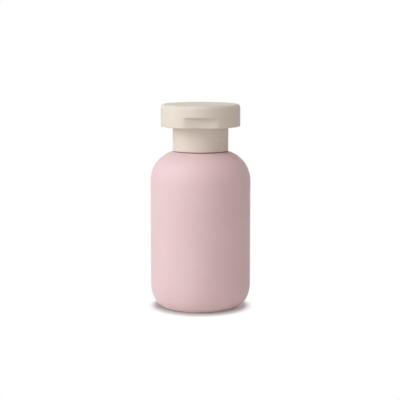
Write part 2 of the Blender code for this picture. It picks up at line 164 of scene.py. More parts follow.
def new_material(name: str) -> tuple[bpy.types.Material, NodeAdder, bpy.types.NodeSocket]:
    """Start a node material.

    Args:
        name: The material's name.

    Returns:
        The material, a call that adds a node to it, and its Object coordinates.
    """
    material = bpy.data.materials.new(name)
    material.use_nodes = True
    material.node_tree.nodes.clear()
    add = partial(add_node, material.node_tree)
    return material, add, add("ShaderNodeTexCoord").outputs["Object"]


def arc(
    centre: tuple[float, float],
    radius: float,
    start: float,
    end: float,
    steps: int,
    rise: float | None = None,
) -> Outline:
    """Points on a circle or ellipse arc in the (radius, height) plane.

    Args:
        centre: The arc's centre.
        radius: The arc's radius, or half width.
        start: First angle in degrees, from the outward direction towards up.
        end: Last angle in degrees.
        steps: Number of straight steps.
        rise: Half height of an ellipse; a circle has none.

    Returns:
        The points, both ends included.
    """
    rise = radius if rise is None else rise
    turns = [math.radians(start + (end - start) * step / steps) for step in range(steps + 1)]
    return [(centre[0] + radius * math.cos(t), centre[1] + rise * math.sin(t)) for t in turns]


def rounded(corners: Sequence[tuple[float, float, float]], steps: int = 4) -> Outline:
    """Round the corners of an outline.

    Args:
        corners: Radius, height and rounding of each corner; the first and last stay as they are.
        steps: Number of steps in each rounding.

    Returns:
        The outline with a smooth curve at each rounded corner.
    """
    points: Outline = [corners[0][:2]]
    for before, corner, after in zip(corners, corners[1:], corners[2:]):
        here = Vector(corner[:2])
        to_before = Vector(before[:2]) - here
        to_after = Vector(after[:2]) - here
        if corner[2] <= 0.0:
            points.append(corner[:2])
            continue
        half = to_before.angle(to_after) / 2.0
        longest = min(to_before.length, to_after.length) * ROUNDING_SHARE
        reach = min(corner[2] / math.tan(half), longest)
        start = here + to_before.normalized() * reach
        end = here + to_after.normalized() * reach
        for step in range(steps + 1):
            share = step / steps
            low, high = start.lerp(here, share), here.lerp(end, share)
            points.append(tuple(low.lerp(high, share)))
    points.append(corners[-1][:2])
    return points


def smoothstep(value: float, low: float, high: float) -> float:
    """Rise smoothly from 0 at low to 1 at high."""
    share = min(1.0, max(0.0, (value - low) / (high - low)))
    return share * share * (3.0 - 2.0 * share)


def smooth_min(first: float, second: float, softness: float) -> float:
    """The lower of two values, with a soft passage between them as wide as softness."""
    overlap = max(softness - abs(first - second), 0.0) / softness
    return min(first, second) - overlap * overlap * softness / 4.0


def finished(name: str, mesh: bpy.types.Mesh) -> bpy.types.Object:
    """Link a mesh as an object at the origin, smooth shaded with its hard edges kept.

    Args:
        name: The piece's name.
        mesh: The mesh, in metres, in its place.

    Returns:
        The new object.
    """
    mesh.name = name
    mesh.shade_smooth()
    mesh.set_sharp_from_angle(angle=SHARP_ANGLE)
    piece = bpy.data.objects.new(name, mesh)
    bpy.context.scene.collection.objects.link(piece)
    return piece


def plain_mesh(carrier: bpy.types.Object) -> bpy.types.Mesh:
    """Evaluate an object's modifiers once, keep the result and remove the object.

    Args:
        carrier: The object with its modifiers set up.

    Returns:
        A mesh that holds what the modifiers made.
    """
    depsgraph = bpy.context.evaluated_depsgraph_get()
    evaluated = carrier.evaluated_get(depsgraph)
    mesh = bpy.data.meshes.new_from_object(
        evaluated, preserve_all_data_layers=True, depsgraph=depsgraph
    )
    carrier.modifiers.clear()
    bpy.data.objects.remove(carrier, do_unlink=True)
    return mesh


def soften(piece: bpy.types.Object, width: float, segments: int = 2) -> bpy.types.Object:
    """Round a piece's hard edges.

    Args:
        piece: The piece to finish.
        width: Width of the rounding in millimetres.
        segments: Number of steps in the rounding.

    Returns:
        The new object, which takes the old one's name and material.
    """
    name = piece.name
    piece.name = name + "_hard"
    bevel = piece.modifiers.new("round_edges", "BEVEL")
    bevel.width = width * MM
    bevel.segments = segments
    bevel.limit_method = "ANGLE"
    bevel.angle_limit = BEVEL_ANGLE
    return finished(name, plain_mesh(piece))


def loft(name: str, rings: Sequence[Sequence[tuple[float, float, float]]]) -> bpy.types.Object:
    """Join rings of equal length into one piece with a flat cap on each end.

    Args:
        name: The piece's name.
        rings: The rings in order, each a loop of points in millimetres.

    Returns:
        The closed piece.
    """
    bm = bmesh.new()
    loops = [[bm.verts.new([value * MM for value in point]) for point in ring] for ring in rings]
    for lower, upper in zip(loops, loops[1:]):
        for index in range(len(lower)):
            after = (index + 1) % len(lower)
            bm.faces.new((lower[index], lower[after], upper[after], upper[index]))
    bm.faces.new(loops[0])
    bm.faces.new(loops[-1])
    bmesh.ops.recalc_face_normals(bm, faces=bm.faces)
    mesh = bpy.data.meshes.new(name)
    bm.to_mesh(mesh)
    bm.free()
    return finished(name, mesh)


def prism(
    name: str, outline: Sequence[tuple[float, float]], low: float, high: float
) -> bpy.types.Object:
    """Extrude an outline along X.

    Args:
        name: The piece's name.
        outline: Points (y, z) in millimetres.
        low: Lowest x in millimetres.
        high: Highest x in millimetres.

    Returns:
        The closed piece.
    """
    return loft(name, [[(x, y, z) for y, z in outline] for x in (low, high)])


def seat(
    piece: bpy.types.Object,
    body: Body,
    material: bpy.types.Material,
    nodes: Sequence[str] = (),
) -> bpy.types.Object:
    """Give a piece its finish, let it ride on its body and stand for its CAD nodes.

    Args:
        piece: The finished piece.
        body: The body that it moves with.
        material: The material that it shows.
        nodes: The CAD nodes that the piece replaces.

    Returns:
        The same piece.
    """
    piece.data.materials.clear()
    piece.data.materials.append(material)
    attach(piece, body.value)
    if nodes:
        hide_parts(*nodes)
    LOG.info("%s: %d faces on %s", piece.name, len(piece.data.polygons), body.value)
    return piece


# Finishes


@dataclass(frozen=True)
class MouldedPlastic:
    """A solid-coloured plastic that took its surface from the mould.

    The pigment is never spread quite evenly, so two close colours drift over centimetres. The
    blasted or eroded mould leaves a fine grain, and the cooling skin a slow waviness.
    """

    name: str
    colour: str
    drift_colour: str
    drift_mm: float
    grain_mm: float
    grain_depth_mm: float
    wave_mm: float
    wave_depth_mm: float
    roughness: tuple[float, float]
    ior: float
    specular: float
    subsurface: float
    subsurface_mm: tuple[float, float, float]
    sheen: float
    sheen_roughness: float = 0.5

    def material(self) -> bpy.types.Material:
        """Build the node material.

        Returns:
            The material, with patterns on Object coordinates.
        """
        material, add, place = new_material(self.name)
        drift, grain, wave = (
            add(NOISE, {"Vector": place, "Scale": 1.0 / (size * MM), "Detail": detail})
            for size, detail in ((self.drift_mm, 3.0), (self.grain_mm, 2.0), (self.wave_mm, 1.0))
        )
        low, high = DRIFT_SPREAD
        share = add(
            MAP_RANGE,
            {"Value": drift, "From Min": low, "From Max": high},
            interpolation_type="SMOOTHSTEP",
        )
        shades = {"A_Color": linear_rgba(self.colour), "B_Color": linear_rgba(self.drift_colour)}
        colour = add("ShaderNodeMix", {"Factor_Float": share, **shades}, data_type="RGBA")
        smooth, rough = self.roughness
        low, high = GRAIN_SPREAD
        source = {"Value": grain, "From Min": low, "From Max": high}
        gloss = add(MAP_RANGE, {**source, "To Min": smooth, "To Max": rough})
        slow = add("ShaderNodeBump", {"Height": wave, "Distance": self.wave_depth_mm * MM})
        fine = add(
            "ShaderNodeBump",
            {"Height": grain, "Distance": self.grain_depth_mm * MM, "Normal": slow},
        )
        longest = self.subsurface_mm[0]
        shader = add(
            "ShaderNodeBsdfPrincipled",
            {
                "Base Color": colour.outputs[COLOUR_RESULT],
                "Roughness": gloss,
                "IOR": self.ior,
                "Specular IOR Level": self.specular,
                "Subsurface Weight": self.subsurface,
                "Subsurface Radius": [length / longest for length in self.subsurface_mm],
                "Subsurface Scale": longest * MM,
                "Sheen Weight": self.sheen,
                "Sheen Roughness": self.sheen_roughness,
                "Normal": fine,
            },
        )
        add("ShaderNodeOutputMaterial", {"Surface": shader})
        return material


@dataclass(frozen=True)
class SealFoam:
    """Closed-cell foam, cut from sheet: dull, pale, with cells under a millimetre."""

    name: str
    colour: str
    cell_colour: str
    cell_mm: float
    cell_depth_mm: float
    roughness: float
    ior: float = 1.4
    cell_edge: float = 0.25

    def material(self) -> bpy.types.Material:
        """Build the node material.

        Returns:
            The material, with its cells on Object coordinates.
        """
        material, add, place = new_material(self.name)
        cells = add(
            "ShaderNodeTexVoronoi",
            {"Vector": place, "Scale": 1.0 / (self.cell_mm * MM)},
            feature="DISTANCE_TO_EDGE",
        )
        wall = add(MAP_RANGE, {"Value": cells, "From Min": 0.0, "From Max": self.cell_edge})
        shades = {"A_Color": linear_rgba(self.colour), "B_Color": linear_rgba(self.cell_colour)}
        colour = add("ShaderNodeMix", {"Factor_Float": wall, **shades}, data_type="RGBA")
        depth = self.cell_depth_mm * MM
        dents = add("ShaderNodeBump", {"Height": wall, "Distance": depth}, invert=True)
        shader = add(
            "ShaderNodeBsdfPrincipled",
            {
                "Base Color": colour.outputs[COLOUR_RESULT],
                "Roughness": self.roughness,
                "IOR": self.ior,
                "Normal": dents,
            },
        )
        add("ShaderNodeOutputMaterial", {"Surface": shader})
        return material


# Blow-moulded polyethylene from a blasted mould: a soft satin skin, a slight orange-peel wave from
# cooling, and light that sinks in a little, which keeps the dark side rosy. The real grain is about
# 0.1 mm; it is drawn at 0.45 mm so that it shows at all.
BLOWN_PINK = MouldedPlastic(
    name="blow_moulded_satin_polyethylene_pink",
    colour="E1C4C5",
    drift_colour="DFC1C3",
    drift_mm=22.0,
    grain_mm=0.45,
    grain_depth_mm=0.02,
    wave_mm=5.0,
    wave_depth_mm=0.03,
    roughness=(0.50, 0.60),
    ior=1.51,
    specular=0.4,
    subsurface=0.2,
    subsurface_mm=(1.8, 0.9, 0.9),
    sheen=0.03,
)

# Injection-moulded polypropylene from a spark-eroded mould: drier and more matte than the bottle,
# with an even, sandy grain of 0.08 mm, drawn at 0.4 mm, and hardly any waviness.
MOULDED_CREAM = MouldedPlastic(
    name="injection_moulded_matte_polypropylene_cream",
    colour="DED2C6",
    drift_colour="DBCFC2",
    drift_mm=14.0,
    grain_mm=0.4,
    grain_depth_mm=0.018,
    wave_mm=6.0,
    wave_depth_mm=0.015,
    roughness=(0.55, 0.65),
    ior=1.49,
    specular=0.4,
    subsurface=0.08,
    subsurface_mm=(0.9, 0.7, 0.5),
    sheen=0.0,
)

# The same polypropylene where it is thin and is flexed: it whitens a little and turns smoother.
FLEXED_CREAM = MouldedPlastic(
    name="flexed_polypropylene_hinge_cream",
    colour="E0D5C9",
    drift_colour="E3D9CE",
    drift_mm=1.5,
    grain_mm=0.3,
    grain_depth_mm=0.003,
    wave_mm=1.2,
    wave_depth_mm=0.004,
    roughness=(0.40, 0.50),
    ior=1.49,
    specular=0.4,
    subsurface=0.25,
    subsurface_mm=(1.2, 0.9, 0.7),
    sheen=0.0,
)

# Natural low-density polyethylene, unpigmented: milky, waxy, and light goes deep into it.
WAXY_NATURAL = MouldedPlastic(
    name="waxy_low_density_polyethylene_natural",
    colour="F2F1EC",
    drift_colour="ECEBE4",
    drift_mm=6.0,
    grain_mm=0.4,
    grain_depth_mm=0.003,
    wave_mm=2.5,
    wave_depth_mm=0.008,
    roughness=(0.30, 0.40),
    ior=1.51,
    specular=0.5,
    subsurface=0.6,
    subsurface_mm=(2.2, 2.0, 1.8),
    sheen=0.0,
)

# Closed-cell polyethylene foam, cut with a die from a pressed sheet: dull and dry, and its cells of
# about half a millimetre show as shallow dents.
FOAM_GREY = SealFoam(
    name="die_cut_polyethylene_foam_grey",
    colour="DFE0DE",
    cell_colour="CDCECC",
    cell_mm=0.45,
    cell_depth_mm=0.03,
    roughness=0.85,
)


# Node trees


class ShapeTree:
    """A geometry node tree with named inputs, which grows pieces of the sizes it is given.

    Each kind of tree names itself and its inputs, and builds its own shape.
    """

    name: str
    inputs: Mapping[str, str]

    def __init__(self) -> None:
        """Build the tree, which ends in merged doubles, real geometry and its material."""
        self.tree = bpy.data.node_groups.new(self.name, "GeometryNodeTree")
        sockets = self.tree.interface
        sockets.new_socket("Geometry", in_out="OUTPUT", socket_type="NodeSocketGeometry")
        labels = {"Geometry": "Geometry", **self.inputs, "Material": "Material"}
        for label, kind in labels.items():
            sockets.new_socket(label, in_out="INPUT", socket_type=f"NodeSocket{kind}")
        self.add = partial(add_node, self.tree)
        self.given = self.add("NodeGroupInput").outputs
        merged = self.add(MERGE, {"Geometry": self._shape(), "Distance": MERGE_DISTANCE})
        real = self.add("GeometryNodeRealizeInstances", {"Geometry": merged})
        links = {"Geometry": real, "Material": self.given["Material"]}
        dressed = self.add("GeometryNodeSetMaterial", links)
        self.add("NodeGroupOutput", {"Geometry": dressed})

    def _shape(self) -> bpy.types.Node:
        """Build the nodes of the shape itself."""
        raise NotImplementedError

    def _outline_grid(self) -> tuple[bpy.types.Node, bpy.types.Node, bpy.types.NodeOutputs]:
        """Lay out a grid with a row for each point of the source outline.

        Returns:
            The grid, each point's share of the way along its row, and the X, Y and Z of its
            outline point.
        """
        add, outline = self.add, self.given["Geometry"]
        count = add("GeometryNodeAttributeDomainSize", {"Geometry": outline})
        columns = add(MATH, [self.given["Columns"], 1.0], operation="ADD")
        grid = add(
            "GeometryNodeMeshGrid",
            {"Size X": 1.0, "Size Y": 1.0, "Vertices X": columns, "Vertices Y": count},
        )
        place = add("GeometryNodeInputPosition")
        split = add("ShaderNodeSeparateXYZ", [place]).outputs
        share, climb = (add(MATH, [split[axis], 0.5], operation="ADD") for axis in ("X", "Y"))
        last = add(MATH, [count, 1.0], operation="SUBTRACT")
        row = add(MATH, [climb, last], operation="MULTIPLY")
        point = add(
            "GeometryNodeSampleIndex",
            {"Geometry": outline, "Value": place, "Index": add(MATH, [row], operation="ROUND")},
            data_type="FLOAT_VECTOR",
            domain="POINT",
        )
        return grid, share, add("ShaderNodeSeparateXYZ", [point]).outputs

    def _round_about(self, angle: object, radius: object, height: object) -> bpy.types.Node:
        """Combine an angle, a radius and a height into a position.

        Args:
            angle: Angle about Z in radians.
            radius: Distance from the Z axis.
            height: Height along Z.

        Returns:
            The node that gives the position.
        """
        flat = [self.add(MATH, [angle], operation=wave) for wave in ("COSINE", "SINE")]
        flat = [self.add(MATH, [radius, part], operation="MULTIPLY") for part in flat]
        return self.add("ShaderNodeCombineXYZ", [*flat, height])

    def grow(
        self,
        name: str,
        material: bpy.types.Material,
        sizes: Mapping[str, object],
        outline: Outline | None = None,
    ) -> bpy.types.Object:
        """Make a piece with the tree and keep it as a plain mesh.

        Args:
            name: The piece's name.
            material: The piece's material.
            sizes: A value for each named input, which is set by the input's identifier.
            outline: Points (radius, height) that the tree reads as its source, if it needs one.

        Returns:
            The finished piece.
        """
        source = bpy.data.meshes.new(name + "_outline")
        if outline:
            source.from_pydata([(r * MM, 0.0, z * MM) for r, z in outline], [], [])
        carrier = bpy.data.objects.new(name + "_carrier", source)
        bpy.context.scene.collection.objects.link(carrier)
        modifier = carrier.modifiers.new(name, "NODES")
        modifier.node_group = self.tree
        values = {**sizes, "Material": material}
        for item in self.tree.interface.items_tree:
            if item.item_type == "SOCKET" and item.in_out == "INPUT" and item.name in values:
                modifier[item.identifier] = values[item.name]
        return finished(name, plain_mesh(carrier))


class LatheTree(ShapeTree):
    """Turns an outline about the Z axis.

    Gather draws the columns together at +X and -X, where the mould's halves part, and the
    parting line stands up there by Seam Height on outer faces above the standing ring.
    """

    name = "turned_outline"
    inputs = {
        "Columns": "Int",
        "Gather": "Float",
        "Seam Height": "Float",
        "Seam Half Width": "Float",
        "Seam Centre": "Vector",
    }

    def _shape(self) -> bpy.types.Node:
        """Turn the outline and raise its parting line.

        Returns:
            The node that gives the geometry.
        """
        add, given = self.add, self.given
        grid, share, point = self._outline_grid()
        turn = add(MATH, [share, math.tau], operation="MULTIPLY")
        twice = add(MATH, [turn, 2.0], operation="MULTIPLY")
        wave = add(MATH, [twice], operation="SINE")
        pull = add(MATH, [given["Gather"], 0.5], operation="MULTIPLY")
        drawn = add(MATH, [wave, pull], operation="MULTIPLY")
        angle = add(MATH, [turn, drawn], operation="SUBTRACT")
        place = self._round_about(angle, point["X"], point["Z"])
        round_skin = add("GeometryNodeSetPosition", {"Geometry": grid, "Position": place})
        closed = add(MERGE, {"Geometry": round_skin, "Distance": MERGE_DISTANCE})
        return add("GeometryNodeSetPosition", {"Geometry": closed, "Offset": self._seam()})

    def _seam(self) -> bpy.types.Node:
        """Work out how the parting line stands up.

        Returns:
            The node that gives the offset along the skin's normal.
        """
        add, given = self.add, self.given
        here = add("GeometryNodeInputPosition")
        normal = add("GeometryNodeInputNormal")
        split = add("ShaderNodeSeparateXYZ", [here]).outputs
        away = add(MATH, [split["Y"]], operation="ABSOLUTE")
        low, high = SEAM_START
        edges = (
            {"Value": away, "From Min": given["Seam Half Width"], "From Max": 0.0},
            {"Value": split["Z"], "From Min": low * MM, "From Max": high * MM},
        )
        beside, above = (add(MAP_RANGE, edge, interpolation_type="SMOOTHSTEP") for edge in edges)
        outward = add(VECTOR_MATH, [here, given["Seam Centre"]], operation="SUBTRACT")
        facing = add(VECTOR_MATH, [outward, normal], operation="DOT_PRODUCT").outputs["Value"]
        where = add(MATH, [facing, 0.0], operation="GREATER_THAN")
        for factor in (beside, above, given["Seam Height"]):
            where = add(MATH, [where, factor], operation="MULTIPLY")
        return add(VECTOR_MATH, {"Vector": normal, "Scale": where}, operation="SCALE")

    def turn(
        self, name: str, material: bpy.types.Material, outline: Outline, columns: int = 160
    ) -> bpy.types.Object:
        """Turn an outline into a closed piece.

        Args:
            name: The piece's name.
            material: The piece's material.
            outline: From the bottom outwards, up the outside and down the inside.
            columns: Number of columns round the axis.

        Returns:
            The piece. An outline that leaves the axis is closed on itself.
        """
        closed = outline if outline[0][0] < ON_AXIS else [*outline, outline[0]]
        return self.grow(name, material, {"Columns": columns}, closed)


class ThreadTree(ShapeTree):
    """Winds a thread's section up a helix and fades out both its ends."""

    name = "wound_thread"
    inputs = {
        "Columns": "Int",
        "Turns": "Float",
        "Pitch": "Float",
        "Root Radius": "Float",
        "Start Height": "Float",
        "Start Angle": "Float",
        "Run Out": "Float",
    }

    def _shape(self) -> bpy.types.Node:
        """Wind the section, whose X is depth and whose Z is width.

        Returns:
            The node that gives the geometry.
        """
        add, given = self.add, self.given
        grid, share, point = self._outline_grid()
        wound = add(MATH, [share, given["Turns"]], operation="MULTIPLY")
        left = add(MATH, [given["Turns"], wound], operation="SUBTRACT")
        nearest = add(MATH, [wound, left], operation="MINIMUM")
        fade = add(
            MAP_RANGE,
            {"Value": nearest, "From Min": 0.0, "From Max": given["Run Out"]},
            interpolation_type="SMOOTHSTEP",
        )
        swept = add(MATH, [wound, math.tau], operation="MULTIPLY")
        angle = add(MATH, [swept, given["Start Angle"]], operation="ADD")
        depth, width = (add(MATH, [point[axis], fade], operation="MULTIPLY") for axis in ("X", "Z"))
        radius = add(MATH, [given["Root Radius"], depth], operation="ADD")
        height = add(MATH, [wound, given["Pitch"]], operation="MULTIPLY")
        for rise in (width, given["Start Height"]):
            height = add(MATH, [height, rise], operation="ADD")
        place = self._round_about(angle, radius, height)
        return add("GeometryNodeSetPosition", {"Geometry": grid, "Position": place})


class PairedRingTree(ShapeTree):
    """Sets equal blocks in pairs round the Z axis.

    Pairs start First Angle from the front, one on each side, and step on by Step Angle.
    """

    name = "paired_ring_of_blocks"
    inputs = {
        "Count": "Int",
        "First Angle": "Float",
        "Step Angle": "Float",
        "Radius": "Float",
        "Height": "Float",
        "Block Size": "Vector",
    }

    def _shape(self) -> bpy.types.Node:
        """Place the blocks and make them real.

        Returns:
            The node that gives the geometry.
        """
        add, given = self.add, self.given
        index = add("GeometryNodeInputIndex")
        half = add(MATH, [index, 2.0], operation="DIVIDE")
        pair = add(MATH, [half], operation="FLOOR")
        odd = add(MATH, [index, 2.0], operation="MODULO")
        double = add(MATH, [odd, 2.0], operation="MULTIPLY")
        side = add(MATH, [double, 1.0], operation="SUBTRACT")
        step = add(MATH, [pair, given["Step Angle"]], operation="MULTIPLY")
        reach = add(MATH, [step, given["First Angle"]], operation="ADD")
        swung = add(MATH, [reach, side], operation="MULTIPLY")
        angle = add(MATH, [swung, FRONT], operation="ADD")
        place = self._round_about(angle, given["Radius"], given["Height"])
        points = add("GeometryNodePoints", {"Count": given["Count"], "Position": place})
        block = add("GeometryNodeMeshCube", {"Size": given["Block Size"]})
        facing = add("ShaderNodeCombineXYZ", {"Z": angle})
        placed = add(
            "GeometryNodeInstanceOnPoints",
            {"Points": points, "Instance": block, "Rotation": facing},
        )
        return add("GeometryNodeRealizeInstances", {"Geometry": placed})


@dataclass(frozen=True)
class ShapeTrees:
    """The trees that the sub-assemblies share."""

    lathe: LatheTree = field(default_factory=LatheTree)
    thread: ThreadTree = field(default_factory=ThreadTree)
    paired_ring: PairedRingTree = field(default_factory=PairedRingTree)


# The bottle


@dataclass
class ScrewThread:
    """One turned-up or turned-in thread, wound to the right, in millimetres."""

    name: str
    root_radius: float
    depth: float
    start_height: float
    start_deg: float
    turns: float = 1.5
    pitch: float = 3.18
    base_width: float = 1.9
    crest_width: float = 0.7
    foot_rise: float = 0.12
    foot_width: float = 0.94
    foot_round: float = 0.2
    crest_round: float = 0.22
    sunk: float = 0.12
    run_out: float = 0.16
    columns_per_turn: int = 96

    def build(self, trees: ShapeTrees, material: bpy.types.Material) -> bpy.types.Object:
        """Wind the thread's section up its helix.

        Args:
            trees: The shared trees.
            material: The thread's material.

        Returns:
            The thread, sunk a little into the wall that carries it.
        """
        out = math.copysign(1.0, self.depth)
        half, crest = self.base_width / 2.0, self.crest_width / 2.0
        height = abs(self.depth) + self.sunk
        upper = [
            (height, crest, self.crest_round),
            (height * self.foot_rise, half * self.foot_width, self.foot_round),
            (0.0, half, 0.0),
        ]
        lower = [(deep, -up, bend) for deep, up, bend in reversed(upper)]
        outline = [(out * deep, up) for deep, up in rounded(lower + upper, steps=3)]
        outline.append(outline[0])
        if out < 0.0:
            outline.reverse()
        sizes = {
            "Columns": int(self.turns * self.columns_per_turn),
            "Turns": self.turns,
            "Pitch": self.pitch * MM,
            "Root Radius": (self.root_radius - out * self.sunk) * MM,
            "Start Height": self.start_height * MM,
            "Start Angle": math.radians(self.start_deg),
            "Run Out": self.run_out,
        }
        return trees.thread.grow(self.name, material, sizes, outline)


@dataclass
class Bottle:
    """The blown bottle with its screw neck, in millimetres."""

    radius: float = 23.96
    base_width: float = 7.6
    base_height: float = 11.25
    shoulder_width: float = 14.4
    shoulder_rise: float = 14.55
    straight_top: float = 61.25
    wall: float = 1.2
    floor: float = 1.6
    ring_width: float = 2.8
    push_up: float = 2.2
    neck_radius: float = 10.9
    neck_bore: float = 8.9
    rim_height: float = 85.6
    bore_foot: float = 1.2
    bore_lip: float = 2.0
    bead_radius: float = 11.5
    bead_height: float = 76.7
    bead_half: float = 0.5
    thread_depth: float = 0.95
    thread_start: float = 79.3
    thread_start_deg: float = 20.0
    seam_height: float = 0.04
    seam_half_width: float = 0.22
    gather: float = 0.9
    pinch_length: float = 19.0
    pinch_width: float = 0.7
    pinch_height: float = 0.3
    pinch_root: float = 0.4
    pinch_fade: int = 6
    pinch_cheek: float = 0.7
    pinch_steps: int = 36
    foot_turn_deg: float = 3.0
    inner_turn_deg: float = 87.0
    dome_steps: int = 20
    base_steps: int = 28
    side_steps: int = 8
    shoulder_steps: int = 34
    inner_base_steps: int = 16
    inner_shoulder_steps: int = 24
    columns: int = 288

    def _dome(self, radius: float) -> float:
        """Height of the dome pressed up into the base.

        Args:
            radius: Distance from the axis.

        Returns:
            The height above the plane that the bottle stands on.
        """
        reach = self.radius - self.base_width - self.ring_width
        share = min(1.0, radius / reach)
        return self.push_up * (1.0 + math.cos(math.pi * share)) / 2.0

    def _push_up(self, lift: float) -> Outline:
        """The dome's outline from the axis outwards.

        Args:
            lift: The floor's thickness on the inside, and 0 on the outside.

        Returns:
            The outline's points.
        """
        reach = self.radius - self.base_width - self.ring_width
        radii = [reach * step / self.dome_steps for step in range(self.dome_steps + 1)]
        return [(radius, lift + self._dome(radius)) for radius in radii]

    def _pinch_off(self) -> bpy.types.Object:
        """Mould the low ridge across the base, where the blown tube was pinched shut.

        Returns:
            The ridge, rooted in the base and fading out at both ends.
        """
        half, wide = self.pinch_length / 2.0, self.pinch_width / 2.0
        rings = []
        for step in range(self.pinch_steps + 1):
            x = half * (2.0 * step / self.pinch_steps - 1.0)
            skin = self._dome(abs(x))
            proud = self.pinch_height * max(0.0, 1.0 - (x / half) ** self.pinch_fade)
            section = [
                (-wide, skin + self.pinch_root),
                (-wide, skin),
                (-wide / 2.0, skin - proud * self.pinch_cheek),
                (0.0, skin - proud),
            ]
            mirrored = [(-y, z) for y, z in section[2::-1]]
            rings.append([(x, y, z) for y, z in section + mirrored])
        return loft("pinch_off", rings)

    def _outside(self) -> Outline:
        """Draw the outer outline.

        Returns:
            Its points from the middle of the base up to the neck's rim.
        """
        corner = (self.radius - self.base_width, self.base_height)
        centre = (self.radius - self.shoulder_width, self.straight_top)
        neck_foot = math.acos((self.neck_radius - centre[0]) / self.shoulder_width)
        foot_height = centre[1] + self.shoulder_rise * math.sin(neck_foot)
        points = self._push_up(0.0)
        points += arc(corner, self.base_width, -90.0, 0.0, self.base_steps, self.base_height)
        straight, count = self.straight_top - self.base_height, self.side_steps
        heights = [self.base_height + straight * step / count for step in range(1, count)]
        points += [(self.radius, height) for height in heights]
        last = math.degrees(neck_foot) - self.foot_turn_deg
        steps, rise = self.shoulder_steps, self.shoulder_rise
        points += arc(centre, self.shoulder_width, 0.0, last, steps, rise)
        low, high = self.bead_height - self.bead_half, self.bead_height + self.bead_half
        points += rounded(
            [
                (*points.pop(), 0.0),
                (self.neck_radius, foot_height, 0.35),
                (self.neck_radius, low, 0.15),
                (self.bead_radius, low, 0.2),
                (self.bead_radius, high, 0.2),
                (self.neck_radius, high, 0.15),
                (self.neck_radius, self.rim_height, 0.45),
                (self.neck_bore, self.rim_height, 0.35),
                (self.neck_bore, self.rim_height - self.bore_lip, 0.0),
            ]
        )
        return points

    def _inside(self) -> Outline:
        """Draw the inner outline.

        Returns:
            Its points from the neck's bore down to the middle of the floor.
        """
        centre = (self.radius - self.shoulder_width, self.straight_top)
        inner = self.shoulder_width - self.wall
        corner = (self.radius - self.base_width, self.base_height)
        foot = centre[1] + inner
        points = [(self.neck_bore, foot + self.bore_foot), (self.neck_bore, foot)]
        points += arc(centre, inner, self.inner_turn_deg, 0.0, self.inner_shoulder_steps)
        narrow, low = self.base_width - self.wall, self.base_height - self.floor
        points += arc(corner, narrow, 0.0, -90.0, self.inner_base_steps, low)
        return points + self._push_up(self.floor)[::-1]

    def build(self, trees: ShapeTrees) -> None:
        """Blow the bottle, cut its neck thread and dress both.

        Args:
            trees: The shared trees.
        """
        material = BLOWN_PINK.material()
        sizes = {
            "Columns": self.columns,
            "Gather": self.gather,
            "Seam Height": self.seam_height * MM,
            "Seam Half Width": self.seam_half_width * MM,
            "Seam Centre": (0.0, 0.0, self.straight_top / 2.0 * MM),
        }
        outline = self._outside() + self._inside()
        shell = trees.lathe.grow("bottle_shell", material, sizes, outline)
        seat(shell, Body.BOTTLE, material, ["bottle"])
        thread = ScrewThread(
            "neck_thread",
            root_radius=self.neck_radius,
            depth=self.thread_depth,
            start_height=self.thread_start,
            start_deg=self.thread_start_deg,
        )
        seat(thread.build(trees, material), Body.BOTTLE, material)
        seat(self._pinch_off(), Body.BOTTLE, material)


